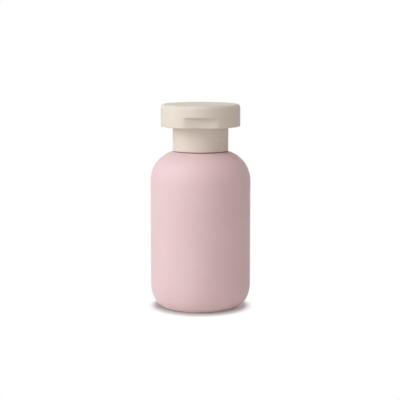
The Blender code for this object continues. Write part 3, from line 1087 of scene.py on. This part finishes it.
@dataclass
class PourPlug:
    """The plug pressed into the neck, and the ring that seals it, in millimetres."""

    bottom: float = 79.6
    flange_low: float = 85.9
    flange_high: float = 86.8
    skirt_radius: float = 8.6
    lead_in: float = 0.6
    lead_height: float = 0.7
    bowl_radius: float = 7.5
    flange_radius: float = 10.9
    orifice_radius: float = 3.2
    floor: float = 1.0
    lip_foot: float = 0.9
    lip_width: float = 0.5
    lip_height: float = 0.3
    orifice_edge: float = 0.2
    bead_heights: tuple[float, ...] = (82.2, 84.2)
    bead_half: float = 0.35
    bead: float = 0.22
    seal_low: float = 87.1
    seal_high: float = 87.9
    seal_inner: float = 8.0
    seal_outer: float = 11.9
    seal_round: float = 0.12
    seal_gap: float = 0.1

    def _plug_outline(self) -> Outline:
        """Draw the plug, with its two sealing beads and the lip round its orifice.

        Returns:
            The outline from the orifice outwards.
        """
        corners = [
            (self.orifice_radius, self.bottom, 0.0),
            (self.skirt_radius - self.lead_in, self.bottom, 0.2),
            (self.skirt_radius, self.bottom + self.lead_height, 0.3),
        ]
        for height in self.bead_heights:
            corners += [
                (self.skirt_radius, height - self.bead_half, 0.1),
                (self.skirt_radius + self.bead, height, 0.15),
                (self.skirt_radius, height + self.bead_half, 0.1),
            ]
        floor = self.bottom + self.floor
        corners += [
            (self.skirt_radius, self.flange_low, 0.15),
            (self.flange_radius, self.flange_low, 0.15),
            (self.flange_radius, self.flange_high, 0.25),
            (self.bowl_radius, self.flange_high, 0.35),
            (self.bowl_radius, floor, 0.6),
            (self.orifice_radius + self.lip_foot, floor, 0.3),
            (self.orifice_radius + self.lip_width, floor + self.lip_height, 0.2),
            (self.orifice_radius, floor + self.lip_height, 0.15),
            (self.orifice_radius, self.bottom + self.orifice_edge, 0.0),
        ]
        return rounded(corners)

    def _seal_outline(self) -> Outline:
        """Draw the foam ring.

        Returns:
            The outline, which starts and ends in the middle of the lower side.
        """
        middle = (self.seal_inner + self.seal_outer) / 2.0
        return rounded(
            [
                (middle, self.seal_low, 0.0),
                (self.seal_outer, self.seal_low, self.seal_round),
                (self.seal_outer, self.seal_high, self.seal_round),
                (self.seal_inner, self.seal_high, self.seal_round),
                (self.seal_inner, self.seal_low, self.seal_round),
                (middle - self.seal_gap, self.seal_low, 0.0),
            ]
        )

    def build(self, trees: ShapeTrees) -> None:
        """Turn the plug, and the foam ring above it.

        Args:
            trees: The shared trees.
        """
        waxy = WAXY_NATURAL.material()
        plug = trees.lathe.turn("pour_plug", waxy, self._plug_outline())
        seat(plug, Body.BOTTLE, waxy, ["neck_plug"])
        foam = FOAM_GREY.material()
        seal = trees.lathe.turn("foam_seal", foam, self._seal_outline())
        seat(seal, Body.SEAL, foam, ["sealing_ring"])


# The cap


@dataclass
class CapBase:
    """The screw collar, its dished deck, the nozzle and the hinge land, in millimetres."""

    collar_bottom: float = 75.8
    collar_bore: float = 12.2
    collar_radius: float = 13.33
    deck_bottom: float = 88.2
    deck_top: float = 89.7
    deck_radius: float = 16.85
    deck_front: float = 15.55
    rim_width: float = 1.5
    dish: float = 0.4
    nozzle_bore: float = 3.2
    nozzle_tip: float = 4.0
    nozzle_foot: float = 4.5
    nozzle_top: float = 93.2
    land_half_width: float = 6.2
    land_root: float = 12.8
    land_back: float = 15.0
    land_step: float = 15.4
    hinge_flat: float = 18.4
    land_foot: float = 84.9
    land_low: float = 86.9
    land_top: float = 88.35
    land_deck: float = 88.75
    land_round: float = 0.22
    front_margin: float = 0.1
    front_softness: float = 0.2
    closing_gap: float = 0.05
    thread_depth: float = 0.95
    thread_start: float = 77.6
    thread_start_deg: float = 200.0
    columns: int = 192

    def _outline(self) -> Outline:
        """Draw collar, deck and nozzle in one outline.

        Returns:
            The outline from the collar's lower edge outwards.
        """
        dish = self.deck_top - self.dish
        inner_rim = self.deck_radius - self.rim_width
        middle = (self.collar_bore + self.collar_radius) / 2.0
        return rounded(
            [
                (middle, self.collar_bottom, 0.0),
                (self.collar_radius, self.collar_bottom, 0.25),
                (self.collar_radius, self.deck_bottom, 0.25),
                (self.deck_radius, self.deck_bottom, 0.3),
                (self.deck_radius, self.deck_top, 0.3),
                (inner_rim, self.deck_top, 0.2),
                (inner_rim - self.dish, dish, 0.25),
                (self.nozzle_foot, dish, 0.5),
                (self.nozzle_tip, self.nozzle_top, 0.3),
                (self.nozzle_bore, self.nozzle_top, 0.3),
                (self.nozzle_bore, self.deck_bottom, 0.3),
                (self.collar_bore, self.deck_bottom, 0.3),
                (self.collar_bore, self.collar_bottom, 0.2),
                (middle - self.closing_gap, self.collar_bottom, 0.0),
            ],
            steps=5,
        )

    def _press_front(self, piece: bpy.types.Object) -> None:
        """Press the deck's front edge flat, behind the wall of the thumb recess.

        Args:
            piece: The turned collar with its deck.
        """
        lowest = (self.deck_bottom - self.front_margin) * MM
        for vertex in piece.data.vertices:
            if vertex.co.z > lowest and vertex.co.y < 0.0:
                depth = -vertex.co.y / MM
                vertex.co.y = -smooth_min(depth, self.deck_front, self.front_softness) * MM

    def _land(self) -> bpy.types.Object:
        """Mould the bracket under the rear of the deck that carries the hinge.

        Returns:
            The bracket with its edges rounded.
        """
        outline = [
            (self.land_root, self.land_foot),
            (self.hinge_flat, self.land_low),
            (self.hinge_flat, self.land_top),
            (self.land_step, self.land_top),
            (self.land_back, self.land_deck),
            (self.land_root, self.land_deck),
        ]
        land = prism("hinge_land", outline, -self.land_half_width, self.land_half_width)
        return soften(land, self.land_round, 3)

    def build(self, trees: ShapeTrees, material: bpy.types.Material) -> None:
        """Mould the cap's lower half with its inner thread.

        Args:
            trees: The shared trees.
            material: The cap's plastic.
        """
        collar = trees.lathe.turn("cap_collar", material, self._outline(), self.columns)
        self._press_front(collar)
        seat(collar, Body.CAP, material, ["cap_base"])
        seat(self._land(), Body.CAP, material)
        thread = ScrewThread(
            "cap_thread",
            root_radius=self.collar_bore,
            depth=-self.thread_depth,
            start_height=self.thread_start,
            start_deg=self.thread_start_deg,
        )
        seat(thread.build(trees, material), Body.CAP, material)


# A reach that no front plane comes to, in millimetres.
NO_LIMIT = 99.0
# The lid's columns as angles from the front and from the rear, and those at the pad's edges by x.
FRONT_COLUMNS_DEG = (
    *(2.5 * step for step in range(7)),
    *(17.5 + step for step in range(13)),
    31.5,
    *(34.0 + 3.0 * step for step in range(39)),
)
REAR_COLUMNS_DEG = (0.0, 3.0, 6.0, 9.0, 11.0, 12.5, 14.0, 15.5, 17.0, 18.6, 25.0, 27.5)
PAD_COLUMNS_X = (6.5, 6.75, 7.0, 7.13, 7.26, 7.4, 7.6)
# Angles from the rear between which the columns stop keeping their x.
REAR_FAN_DEG = (23.0, 50.0)


@dataclass(frozen=True)
class LidRing:
    """One ring of the lid's skin, and how far the front plane may press it in."""

    radius: float
    height: float
    skin: Skin
    front_reach: float = NO_LIMIT
    front_trim: float = 0.0


@dataclass
class FlipLid:
    """The flip lid with its thumb recess, stopper, sealing skirt and hinge notch, in millimetres.

    Rows are the heights of the skin's rings. wall_rows and ledge_rows also say how far the front
    plane may press a ring in: in millimetres, and as a share of ledge_round.
    """

    radius: float = 19.0
    bottom: float = 87.4
    top: float = 98.0
    top_round: float = 1.8
    bottom_round: float = 0.45
    bore: float = 17.2
    lead_in: float = 0.45
    ceiling: float = 96.3
    ceiling_radii: tuple[float, ...] = (8.0, 12.0)
    inner_round: float = 1.0
    stopper_bore: float = 1.9
    stopper_bore_tip: float = 1.5
    stopper_tip: float = 2.3
    stopper_radius: float = 2.7
    stopper_low: float = 91.7
    stopper_shoulder: float = 93.2
    skirt_inner: float = 4.7
    skirt_outer: float = 5.5
    skirt_low: float = 92.2
    recess_plane: float = 17.4
    recess_half_width: float = 7.6
    recess_scoop: float = 0.4
    thumb_lip: float = 0.35
    thumb_lip_low: float = 90.9
    recess_softness: float = 0.75
    recess_foot_round: float = 0.4
    front_cosine: float = 0.4
    ledge: float = 92.35
    ledge_round: float = 0.1
    wall_plane: float = 15.9
    wall_softness: float = 0.3
    flat_plane: float = 18.4
    flat_top: float = 92.4
    flat_reach: float = 0.2
    flat_softness: float = 0.12
    pad_half_width: float = 7.0
    pad_side: float = 0.4
    pad_low: float = 88.1
    pad_foot: float = 0.35
    pad_top: float = 91.9
    pad_head: float = 1.2
    notch_half_width: float = 6.5
    notch_top: float = 89.45
    notch_margin: float = 0.01
    notch_slack: float = 0.005
    edge_round: float = 0.14
    wall_rows: tuple[tuple[float, float], ...] = (
        (94.4, 0.0),
        (93.75, 0.0),
        (93.45, 0.08),
        (93.4, 0.3),
        (93.38, NO_LIMIT),
    )
    inner_rows: tuple[float, ...] = (92.6, 91.6, 90.6)
    mouth_row: float = 88.6
    foot_rows: tuple[float, ...] = (88.1, 88.6, 89.0)
    recess_rows: tuple[float, ...] = (90.0, 90.6, 91.2, 91.65, 91.95, 92.15, 92.27)
    ledge_rows: tuple[tuple[float, float], ...] = ((0.02, 1.0), (0.08, 0.3), (0.3, 0.0))
    upper_rows: tuple[float, ...] = (92.9, 93.5, 94.3, 95.2)
    top_radii: tuple[float, ...] = (15.5, 13.0, 9.0, 4.5, 0.0)
    bottom_steps: int = 9
    top_steps: int = 12
    inner_steps: int = 6
    rib_count: int = 8
    rib_first_deg: float = 35.0
    rib_step_deg: float = 30.0
    rib_radius: float = 16.85
    rib_height: float = 93.43
    rib_size: tuple[float, float, float] = (1.9, 0.9, 6.86)
    rib_round: float = 0.15

    def _inside_rings(self) -> list[LidRing]:
        """Lay out the inner skin, with stopper and skirt.

        Returns:
            The rings from the middle of the ceiling down to the mouth.
        """
        ceiling = self.ceiling
        middle = rounded(
            [
                (0.0, ceiling, 0.0),
                (self.stopper_bore, ceiling, 0.3),
                (self.stopper_bore_tip, self.stopper_low, 0.15),
                (self.stopper_tip, self.stopper_low, 0.3),
                (self.stopper_radius, self.stopper_shoulder, 0.4),
                (self.stopper_radius, ceiling, 0.3),
                (self.skirt_inner, ceiling, 0.3),
                (self.skirt_inner, self.skirt_low, 0.25),
                (self.skirt_outer, self.skirt_low, 0.25),
                (self.skirt_outer, ceiling, 0.3),
                *((radius, ceiling, 0.0) for radius in self.ceiling_radii),
            ],
            steps=3,
        )
        corner = (self.bore - self.inner_round, ceiling - self.inner_round)
        middle += arc(corner, self.inner_round, 90.0, 0.0, self.inner_steps)
        rings = [LidRing(radius, height, Skin.INSIDE, 0.0) for radius, height in middle]
        for height, reach in self.wall_rows:
            rings.append(LidRing(self.bore, height, Skin.INSIDE, reach))
        low_rows = (self.notch_top, self.mouth_row, self.bottom + self.lead_in)
        for height in (*self.inner_rows, *low_rows):
            rings.append(LidRing(self.bore, height, Skin.INSIDE))
        rings.append(LidRing(self.bore + self.lead_in, self.bottom, Skin.INSIDE))
        return rings

    def _outside_rings(self) -> list[LidRing]:
        """Lay out the outer skin.

        Returns:
            The rings from the mouth round the lower edge and up to the middle of the top.
        """
        low = (self.radius - self.bottom_round, self.bottom + self.bottom_round)
        high = (self.radius - self.top_round, self.top - self.top_round)
        rings = []
        for radius, height in arc(low, self.bottom_round, -90.0, 0.0, self.bottom_steps):
            rings.append(LidRing(radius, height, Skin.SIDE, NO_LIMIT, self._foot_trim(height)))
        for height in (*self.foot_rows, self.notch_top, *self.recess_rows, self.ledge):
            rings.append(LidRing(self.radius, height, Skin.SIDE))
        for rise, share in self.ledge_rows:
            reach = self.ledge_round * share
            rings.append(LidRing(self.radius, self.ledge + rise, Skin.SIDE, reach))
        for height in self.upper_rows:
            rings.append(LidRing(self.radius, height, Skin.SIDE, 0.0))
        for radius, height in arc(high, self.top_round, 0.0, 90.0, self.top_steps):
            rings.append(LidRing(radius, height, Skin.TOP, 0.0))
        for radius in self.top_radii:
            rings.append(LidRing(radius, self.top, Skin.TOP, 0.0))
        return rings

    def _foot_trim(self, height: float) -> float:
        """Round the recess's foot.

        Args:
            height: The height of a ring.

        Returns:
            How far the rounding draws the ring in there.
        """
        share = 1.0 - (height - self.bottom) / self.recess_foot_round
        if share <= 0.0:
            return 0.0
        return self.recess_foot_round * (1.0 - math.sqrt(1.0 - min(1.0, share) ** 2))

    def _columns(self) -> list[float]:
        """Lay out the columns, closest at edges.

        Returns:
            Each column's angle from the front in degrees.
        """
        pad = [math.degrees(math.asin(across / self.radius)) for across in PAD_COLUMNS_X]
        rear = [180.0 - angle for angle in (*REAR_COLUMNS_DEG, *pad)]
        half = sorted([*FRONT_COLUMNS_DEG, *rear])
        return [-angle for angle in half[:0:-1] if angle < 180.0] + half

    def _rear_shift(self, from_rear: float, radius: float) -> float:
        """Turn a rear column so that it keeps its x on rings of another radius.

        Args:
            from_rear: The column's angle from the rear in radians.
            radius: The ring's radius.

        Returns:
            The angle to use on that ring.
        """
        held = math.asin(max(-1.0, min(1.0, self.radius * math.sin(from_rear) / radius)))
        size = math.degrees(abs(from_rear))
        fade = 1.0 - smoothstep(size, *REAR_FAN_DEG)
        return from_rear + (held - from_rear) * fade

    def _rear_point(self, ring: LidRing, from_rear: float) -> tuple[float, float]:
        """Place one point of the rear half, with the hinge flat and its pad.

        Args:
            ring: The ring that the point is on.
            from_rear: The column's angle from the rear in radians.

        Returns:
            The point's x and y.
        """
        if ring.skin is Skin.TOP:
            return ring.radius * math.sin(from_rear), ring.radius * math.cos(from_rear)
        held_radius = max(ring.radius, self.bore) if ring.skin is Skin.INSIDE else ring.radius
        angle = self._rear_shift(from_rear, held_radius)
        x, y = ring.radius * math.sin(angle), ring.radius * math.cos(angle)
        plane = self.flat_plane + max(0.0, ring.height - self.flat_top)
        if ring.skin is Skin.INSIDE or plane >= self.radius + self.flat_reach:
            return x, y
        y = smooth_min(y, plane, self.flat_softness)
        rows = smoothstep(ring.height, self.pad_low - self.pad_foot, self.pad_low)
        rows *= 1.0 - smoothstep(ring.height, self.pad_top, self.pad_top + self.pad_head)
        edge = self.pad_half_width
        sides = 1.0 - smoothstep(abs(x), edge, edge + self.pad_side)
        return x, y + (max(y, plane) - y) * rows * sides if plane < self.radius else y

    def _front_point(self, ring: LidRing, angle: float) -> tuple[float, float]:
        """Place one point of the front half, with the thumb recess or its inner wall.

        Args:
            ring: The ring that the point is on.
            angle: The column's angle from the front in radians.

        Returns:
            The point's x and y.
        """
        radius = ring.radius
        if ring.front_reach > 0.0 and math.cos(angle) > self.front_cosine:
            plane, softness = self.wall_plane, self.wall_softness
            if ring.skin is not Skin.INSIDE:
                plane, softness = self.recess_plane - ring.front_trim, self.recess_softness
                across = min(1.0, abs(plane * math.tan(angle)) / self.recess_half_width)
                rise = (ring.height - self.thumb_lip_low) / (self.ledge - self.thumb_lip_low)
                deeper = self.recess_scoop + self.thumb_lip * max(0.0, min(1.0, rise)) ** 2
                plane -= deeper * (1.0 - across**2)
            pressed = smooth_min(radius, plane / math.cos(angle), softness)
            radius = max(pressed, radius - ring.front_reach)
        return radius * math.sin(angle), -radius * math.cos(angle)

    def _point(self, ring: LidRing, degrees: float) -> Vector:
        """Place one point of the lid's skin.

        Args:
            ring: The ring that the point is on.
            degrees: The column's angle from the front.

        Returns:
            The point in metres.
        """
        angle = math.radians(degrees)
        if abs(degrees) <= 90.0:
            x, y = self._front_point(ring, angle)
        else:
            x, y = self._rear_point(ring, math.copysign(math.pi, angle) - angle)
        return Vector((x, y, ring.height)) * MM

    def _in_notch(self, face: bmesh.types.BMFace) -> bool:
        """Tell whether a face lies in the opening for the hinge land.

        Args:
            face: A face of the closed skin.

        Returns:
            True if all its corners lie in the opening.
        """
        margin = self.notch_margin
        wide, high = (self.notch_half_width + margin) * MM, (self.notch_top + margin) * MM
        corners = [vert.co for vert in face.verts]
        return all(co.y > 0.0 and abs(co.x) < wide and co.z < high for co in corners)

    def _open_notch(self, bm: bmesh.types.BMesh) -> None:
        """Cut the hinge notch through both skins and wall it with three flat faces.

        Args:
            bm: The lid's closed skin.
        """
        doomed = [face for face in bm.faces if self._in_notch(face)]
        bmesh.ops.delete(bm, geom=doomed, context="FACES")
        rim = [edge for edge in bm.edges if edge.is_boundary]
        limit = self.notch_slack * MM
        walls: dict[str, list[bmesh.types.BMVert]] = {"left": [], "right": [], "top": []}
        for vert in {vert for edge in rim for vert in edge.verts}:
            if abs(vert.co.z - self.notch_top * MM) < limit:
                walls["top"].append(vert)
            if abs(abs(vert.co.x) - self.notch_half_width * MM) < limit:
                walls["left" if vert.co.x < 0.0 else "right"].append(vert)
        made = []
        for verts in walls.values():
            middle = sum((vert.co for vert in verts), Vector()) / len(verts)
            made.append(bm.faces.new(self._loop_order(verts, rim, middle)))
        bmesh.ops.recalc_face_normals(bm, faces=bm.faces)
        edges = list({edge for face in made for edge in face.edges})
        bmesh.ops.bevel(
            bm,
            geom=edges,
            offset=self.edge_round * MM,
            offset_type="OFFSET",
            segments=2,
            profile=0.5,
            affect="EDGES",
            clamp_overlap=True,
        )

    @staticmethod
    def _loop_order(
        verts: list[bmesh.types.BMVert], rim: list[bmesh.types.BMEdge], middle: Vector
    ) -> list[bmesh.types.BMVert]:
        """Sort a wall's corners into one closed loop along the rim.

        Args:
            verts: The wall's corners.
            rim: The open edges of the notch.
            middle: The wall's middle, which only breaks ties.

        Returns:
            The corners in order.
        """
        chosen = set(verts)
        near: dict[bmesh.types.BMVert, list[bmesh.types.BMVert]] = {vert: [] for vert in verts}
        for edge in rim:
            first, second = edge.verts
            if first in chosen and second in chosen:
                near[first].append(second)
                near[second].append(first)
        ends = sorted(
            (vert for vert in verts if len(near[vert]) == 1),
            key=lambda vert: (round(vert.co.x, 7), round(vert.co.y, 7), (vert.co - middle).length),
        )
        order, left = [], set(verts)
        current = ends[0]
        while left:
            order.append(current)
            left.discard(current)
            following = [vert for vert in near[current] if vert in left]
            if following:
                current = following[0]
            elif left:
                here = current.co
                loose = [vert for vert in ends if vert in left]
                current = min(loose, key=lambda vert: (vert.co - here).length)
        return order

    def _shell(self) -> bpy.types.Object:
        """Build the lid's skin as one closed mesh.

        Returns:
            The lid with its notch open.
        """
        bm = bmesh.new()
        rings = self._inside_rings() + self._outside_rings()
        columns = self._columns()
        rows = [[bm.verts.new(self._point(ring, column)) for column in columns] for ring in rings]
        for lower, upper in zip(rows, rows[1:]):
            for index in range(len(columns)):
                after = (index + 1) % len(columns)
                bm.faces.new((lower[index], lower[after], upper[after], upper[index]))
        bmesh.ops.remove_doubles(bm, verts=bm.verts, dist=MERGE_DISTANCE)
        bmesh.ops.recalc_face_normals(bm, faces=bm.faces)
        self._open_notch(bm)
        mesh = bpy.data.meshes.new("flip_lid_shell")
        bm.to_mesh(mesh)
        bm.free()
        return finished("flip_lid_shell", mesh)

    def build(self, trees: ShapeTrees, material: bpy.types.Material) -> None:
        """Mould the lid and the ribs that it lands on.

        Args:
            trees: The shared trees.
            material: The lid's plastic.
        """
        seat(self._shell(), Body.LID, material, ["flip_lid"])
        sizes = {
            "Count": self.rib_count,
            "First Angle": math.radians(self.rib_first_deg),
            "Step Angle": math.radians(self.rib_step_deg),
            "Radius": self.rib_radius * MM,
            "Height": self.rib_height * MM,
            "Block Size": tuple(side * MM for side in self.rib_size),
        }
        ribs = soften(trees.paired_ring.grow("landing_ribs", material, sizes), self.rib_round)
        seat(ribs, Body.LID, material)


@dataclass
class ButterflyHinge:
    """The film and the two straps that join cap and lid, in millimetres."""

    outside: float = 18.4
    land_top: float = 88.35
    lid_low: float = 89.45
    film_half_width: float = 3.0
    film_thickness: float = 0.3
    strap_inner: float = 3.8
    strap_outer: float = 5.4
    strap_thickness: float = 0.4
    strap_waist: float = 0.25
    root: float = 0.6
    root_reach: float = 0.5
    root_start: float = 0.25
    set_back: float = 0.03
    root_set_back: float = 0.09
    edge: float = 0.1
    rows: int = 24

    def _band(
        self, name: str, sides: tuple[float, float], thickness: float, waist: float
    ) -> bpy.types.Object:
        """Build one upright band, thick at its roots and thin where it folds.

        Args:
            name: The band's name.
            sides: Lowest and highest x.
            thickness: Thickness where it folds.
            waist: How much narrower each side is where it folds.

        Returns:
            The band, closed and ready to bend.
        """
        bottom, top = self.land_top - self.root_reach, self.lid_low + self.root_reach
        middle = (self.land_top + self.lid_low) / 2.0
        rings = []
        for row in range(self.rows + 1):
            height = bottom + (top - bottom) * row / self.rows
            away = min(1.0, abs(height - middle) / ((self.lid_low - self.land_top) / 2.0))
            spread = smoothstep(away, self.root_start, 1.0)
            deep = thickness + (self.root - thickness) * spread
            inset = waist * (1.0 - spread)
            front = self.outside - deep
            back = self.outside - self.set_back - self.root_set_back * spread
            left, right, edge = sides[0] + inset, sides[1] - inset, min(self.edge, deep / 3.0)
            ring = [
                (left, front + edge),
                (left + edge, front),
                (right - edge, front),
                (right, front + edge),
                (right, back - edge),
                (right - edge, back),
                (left + edge, back),
                (left, back - edge),
            ]
            rings.append([(x, y, height) for x, y in ring])
        return loft(name, rings)

    def build(self) -> None:
        """Mould film and straps, which span from the cap to the lid."""
        material = FLEXED_CREAM.material()
        film = (-self.film_half_width, self.film_half_width)
        left, right = (-self.strap_outer, -self.strap_inner), (self.strap_inner, self.strap_outer)
        for name, node, sides, thickness, waist in (
            ("film", "hinge_film", film, self.film_thickness, 0.0),
            ("strap_left", "hinge_strap_left", left, self.strap_thickness, self.strap_waist),
            ("strap_right", "hinge_strap_right", right, self.strap_thickness, self.strap_waist),
        ):
            band = self._band(name, sides, thickness, waist)
            band.data.materials.append(material)
            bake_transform(band)
            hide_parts(node)
            LOG.info("%s: %d faces, bends from cap to lid", name, len(band.data.polygons))


# The studio


WHITE = linear_rgba("FFFFFF")


@dataclass(frozen=True)
class SoftBox:
    """One soft area lamp that looks at the bottle, with size and distance in metres."""

    name: str
    azimuth_deg: float
    elevation_deg: float
    size: float
    power: float
    distance: float = 0.9
    tint: str = "FFFFFF"
    throw: Throw = Throw.NOT_FLOOR
    in_gloss: bool = True


@dataclass
class Studio:
    """A pale floor, soft light, and the camera at the photograph's angle, in millimetres."""

    camera_place: tuple[float, float, float] = (-0.24, -594.6, 131.8)
    camera_tilt_deg: float = 7.67
    lens: float = 112.07
    sensor: float = 36.0
    aim_height: float = 50.0
    fibre_mm: float = 2.0
    paper_roughness: float = 0.6
    floor_radius: float = 2000.0
    floor_opening: float = 0.5
    sheet_columns: int = 96
    sheet_gap: float = 0.02
    bounce_opening: float = 17.5
    shadow_from: float = 20.5
    shadow_to: float = 26.0
    shadow_stretch: tuple[float, float, float] = (1.0, 0.96, 1.0)
    world_level: float = 0.262
    lamps: tuple[SoftBox, ...] = (
        SoftBox("key_left", -60.0, 35.0, 0.5, 3.3, tint="F8FEFF"),
        SoftBox("side_left", -82.0, 10.0, 0.5, 1.69, tint="EEFBFF"),
        SoftBox("front", -15.0, 10.0, 0.5, 1.34, tint="FFF5F1"),
        SoftBox("high_left", -30.0, 60.0, 0.5, 1.05, tint="F6FFFE"),
        SoftBox("overhead", 0.0, 85.0, 0.5, 0.88, tint="F6FCFF", throw=Throw.ALL),
        SoftBox("warm_right", 60.0, 40.0, 0.5, 0.34, tint="FF8A5C", throw=Throw.ALL),
        SoftBox("back_fill", 175.0, 5.0, 0.5, 1.5, in_gloss=False),
        SoftBox("floor_wash", 5.0, 60.0, 0.5, 1.05, throw=Throw.FLOOR),
        SoftBox("floor_front", 22.0, 10.0, 0.5, 2.3, throw=Throw.FLOOR),
    )

    def _camera(self) -> None:
        """Stand the camera where the photograph was taken."""
        data = bpy.data.cameras.new("photo_camera")
        data.sensor_width = self.sensor
        data.lens = self.lens
        camera = bpy.data.objects.new("photo_camera", data)
        camera.location = [value * MM for value in self.camera_place]
        camera.rotation_euler = (math.radians(90.0 - self.camera_tilt_deg), 0.0, 0.0)
        bpy.context.scene.collection.objects.link(camera)
        bpy.context.scene.camera = camera

    def _lamp(self, box: SoftBox, floor: bpy.types.Object) -> None:
        """Hang one soft box on its arm and aim it at the bottle's middle.

        Most boxes throw no light on the seen floor, and two light nothing else, so that the
        shadow stays close to the base and is dark on both sides.

        Args:
            box: The lamp's place, size and power.
            floor: The sheet that the camera sees.
        """
        data = bpy.data.lights.new(box.name, "AREA")
        data.shape = "DISK"
        data.size = box.size
        data.energy = box.power
        data.color = linear_rgba(box.tint)[:3]
        lamp = bpy.data.objects.new(box.name, data)
        azimuth, elevation = math.radians(box.azimuth_deg), math.radians(box.elevation_deg)
        out = Vector(
            (
                math.sin(azimuth) * math.cos(elevation),
                -math.cos(azimuth) * math.cos(elevation),
                math.sin(elevation),
            )
        )
        lamp.location = Vector((0.0, 0.0, self.aim_height * MM)) + out * box.distance
        lamp.rotation_euler = out.to_track_quat("Z", "Y").to_euler()
        bpy.context.scene.collection.objects.link(lamp)
        lamp.visible_glossy = box.in_gloss
        if box.throw is not Throw.ALL:
            flag = bpy.data.collections.new(f"{box.name}_flag")
            flag.objects.link(floor)
            if box.throw is Throw.NOT_FLOOR:
                flag.collection_objects[0].light_linking.link_state = "EXCLUDE"
            lamp.light_linking.receiver_collection = flag

    @staticmethod
    def _plain_sight(add: NodeAdder) -> bpy.types.NodeSocket:
        """Tell whether a ray is one that should meet the plain white background.

        Args:
            add: The call that adds a node to the tree that asks.

        Returns:
            A socket that is 1 for camera, glossy and transmission rays, and 0 for others.
        """
        path = add("ShaderNodeLightPath").outputs
        seen = path["Is Camera Ray"]
        for other in ("Is Glossy Ray", "Is Transmission Ray"):
            seen = add(MATH, [seen, path[other]], operation="MAXIMUM").outputs[0]
        return seen

    def _world(self) -> None:
        """Light evenly from all round, and show plain white to the camera and in gloss."""
        world = bpy.data.worlds.new("studio_world")
        world.use_nodes = True
        world.node_tree.nodes.clear()
        add = partial(add_node, world.node_tree)
        levels = {"To Min": self.world_level, "To Max": 1.0}
        strength = add(MAP_RANGE, {"Value": self._plain_sight(add), **levels})
        light = add("ShaderNodeBackground", {"Color": WHITE, "Strength": strength})
        add("ShaderNodeOutputWorld", {"Surface": light})
        bpy.context.scene.world = world

    def _paper(self) -> bpy.types.Material:
        """The floor's white paper, which keeps the shadow near the bottle and is white beyond.

        Returns:
            The material, with its falloff on Object coordinates.
        """
        material, add, place = new_material("matte_white_backdrop_paper")
        fibres = add(NOISE, {"Vector": place, "Scale": 1.0 / (self.fibre_mm * MM)})
        shades = {"A_Color": linear_rgba("F6F6F5"), "B_Color": linear_rgba("F9F9F8")}
        tone = add("ShaderNodeMix", {"Factor_Float": fibres, **shades}, data_type="RGBA")
        look = {"Color": tone.outputs[COLOUR_RESULT], "Roughness": self.paper_roughness}
        sheet = add("ShaderNodeBsdfDiffuse", look)
        white = add("ShaderNodeEmission", {"Color": WHITE, "Strength": 1.0})
        stretched = add(VECTOR_MATH, [place, self.shadow_stretch], operation="MULTIPLY")
        away = add(VECTOR_MATH, [stretched], operation="LENGTH").outputs["Value"]
        low, high = self.shadow_from * MM, self.shadow_to * MM
        far = add(
            MAP_RANGE,
            {"Value": away, "From Min": low, "From Max": high},
            interpolation_type="SMOOTHSTEP",
        )
        share = add(MATH, [far, self._plain_sight(add)], operation="MULTIPLY")
        mixed = add("ShaderNodeMixShader", [share, sheet, white])
        below = add("ShaderNodeNewGeometry").outputs["Backfacing"]
        clear = add("ShaderNodeBsdfTransparent")
        one_sided = add("ShaderNodeMixShader", [below, mixed, clear])
        add("ShaderNodeOutputMaterial", {"Surface": one_sided})
        return material

    def _sheet(self, name: str, radii: Sequence[float], height: float) -> bpy.types.Object:
        """Lay one round sheet of paper.

        Args:
            name: The sheet's name.
            radii: Its inner and outer radius in millimetres.
            height: Its height in millimetres.

        Returns:
            The sheet, marked as part of the stage.
        """
        count = self.sheet_columns
        verts, faces = [], []
        for index in range(count):
            turn = math.tau * index / count
            across, along = MM * math.cos(turn), MM * math.sin(turn)
            verts += [(radius * across, radius * along, height * MM) for radius in radii]
            here, after = 2 * index, 2 * ((index + 1) % count)
            faces.append((here, here + 1, after + 1, after))
        mesh = bpy.data.meshes.new(name)
        mesh.from_pydata(verts, [], faces)
        sheet = bpy.data.objects.new(name, mesh)
        bpy.context.scene.collection.objects.link(sheet)
        return sheet

    def _floor(self) -> bpy.types.Object:
        """Lay the sheet that the camera sees, and one just below it that throws light back.

        The lower sheet is open under the bottle, so that the base shows when seen from below.

        Returns:
            The sheet that the camera sees.
        """
        paper = self._paper()
        seen = self._sheet("paper_floor", (self.floor_opening, self.floor_radius), 0.0)
        seen.visible_diffuse = False
        seen.visible_glossy = False
        seen.visible_transmission = False
        seen.visible_shadow = False
        radii = (self.bounce_opening, self.floor_radius)
        bounce = self._sheet("bounce_floor", radii, -self.sheet_gap)
        bounce.visible_camera = False
        for sheet in (seen, bounce):
            sheet.data.materials.append(paper)
        return seen

    def build(self) -> None:
        """Set up the whole studio."""
        bpy.context.scene.view_settings.view_transform = "Standard"
        self._camera()
        self._world()
        floor = self._floor()
        for box in self.lamps:
            self._lamp(box, floor)


def main() -> None:
    """Build the bottle, its plug, the cap, the lid, the hinge and the studio in order."""
    logging.basicConfig(level=logging.INFO, format="%(name)s %(message)s")
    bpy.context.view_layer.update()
    trees = ShapeTrees()
    cream = MOULDED_CREAM.material()
    Bottle().build(trees)
    PourPlug().build(trees)
    CapBase().build(trees, cream)
    FlipLid().build(trees, cream)
    ButterflyHinge().build()
    Studio().build()


if __name__ == "__main__":
    main()
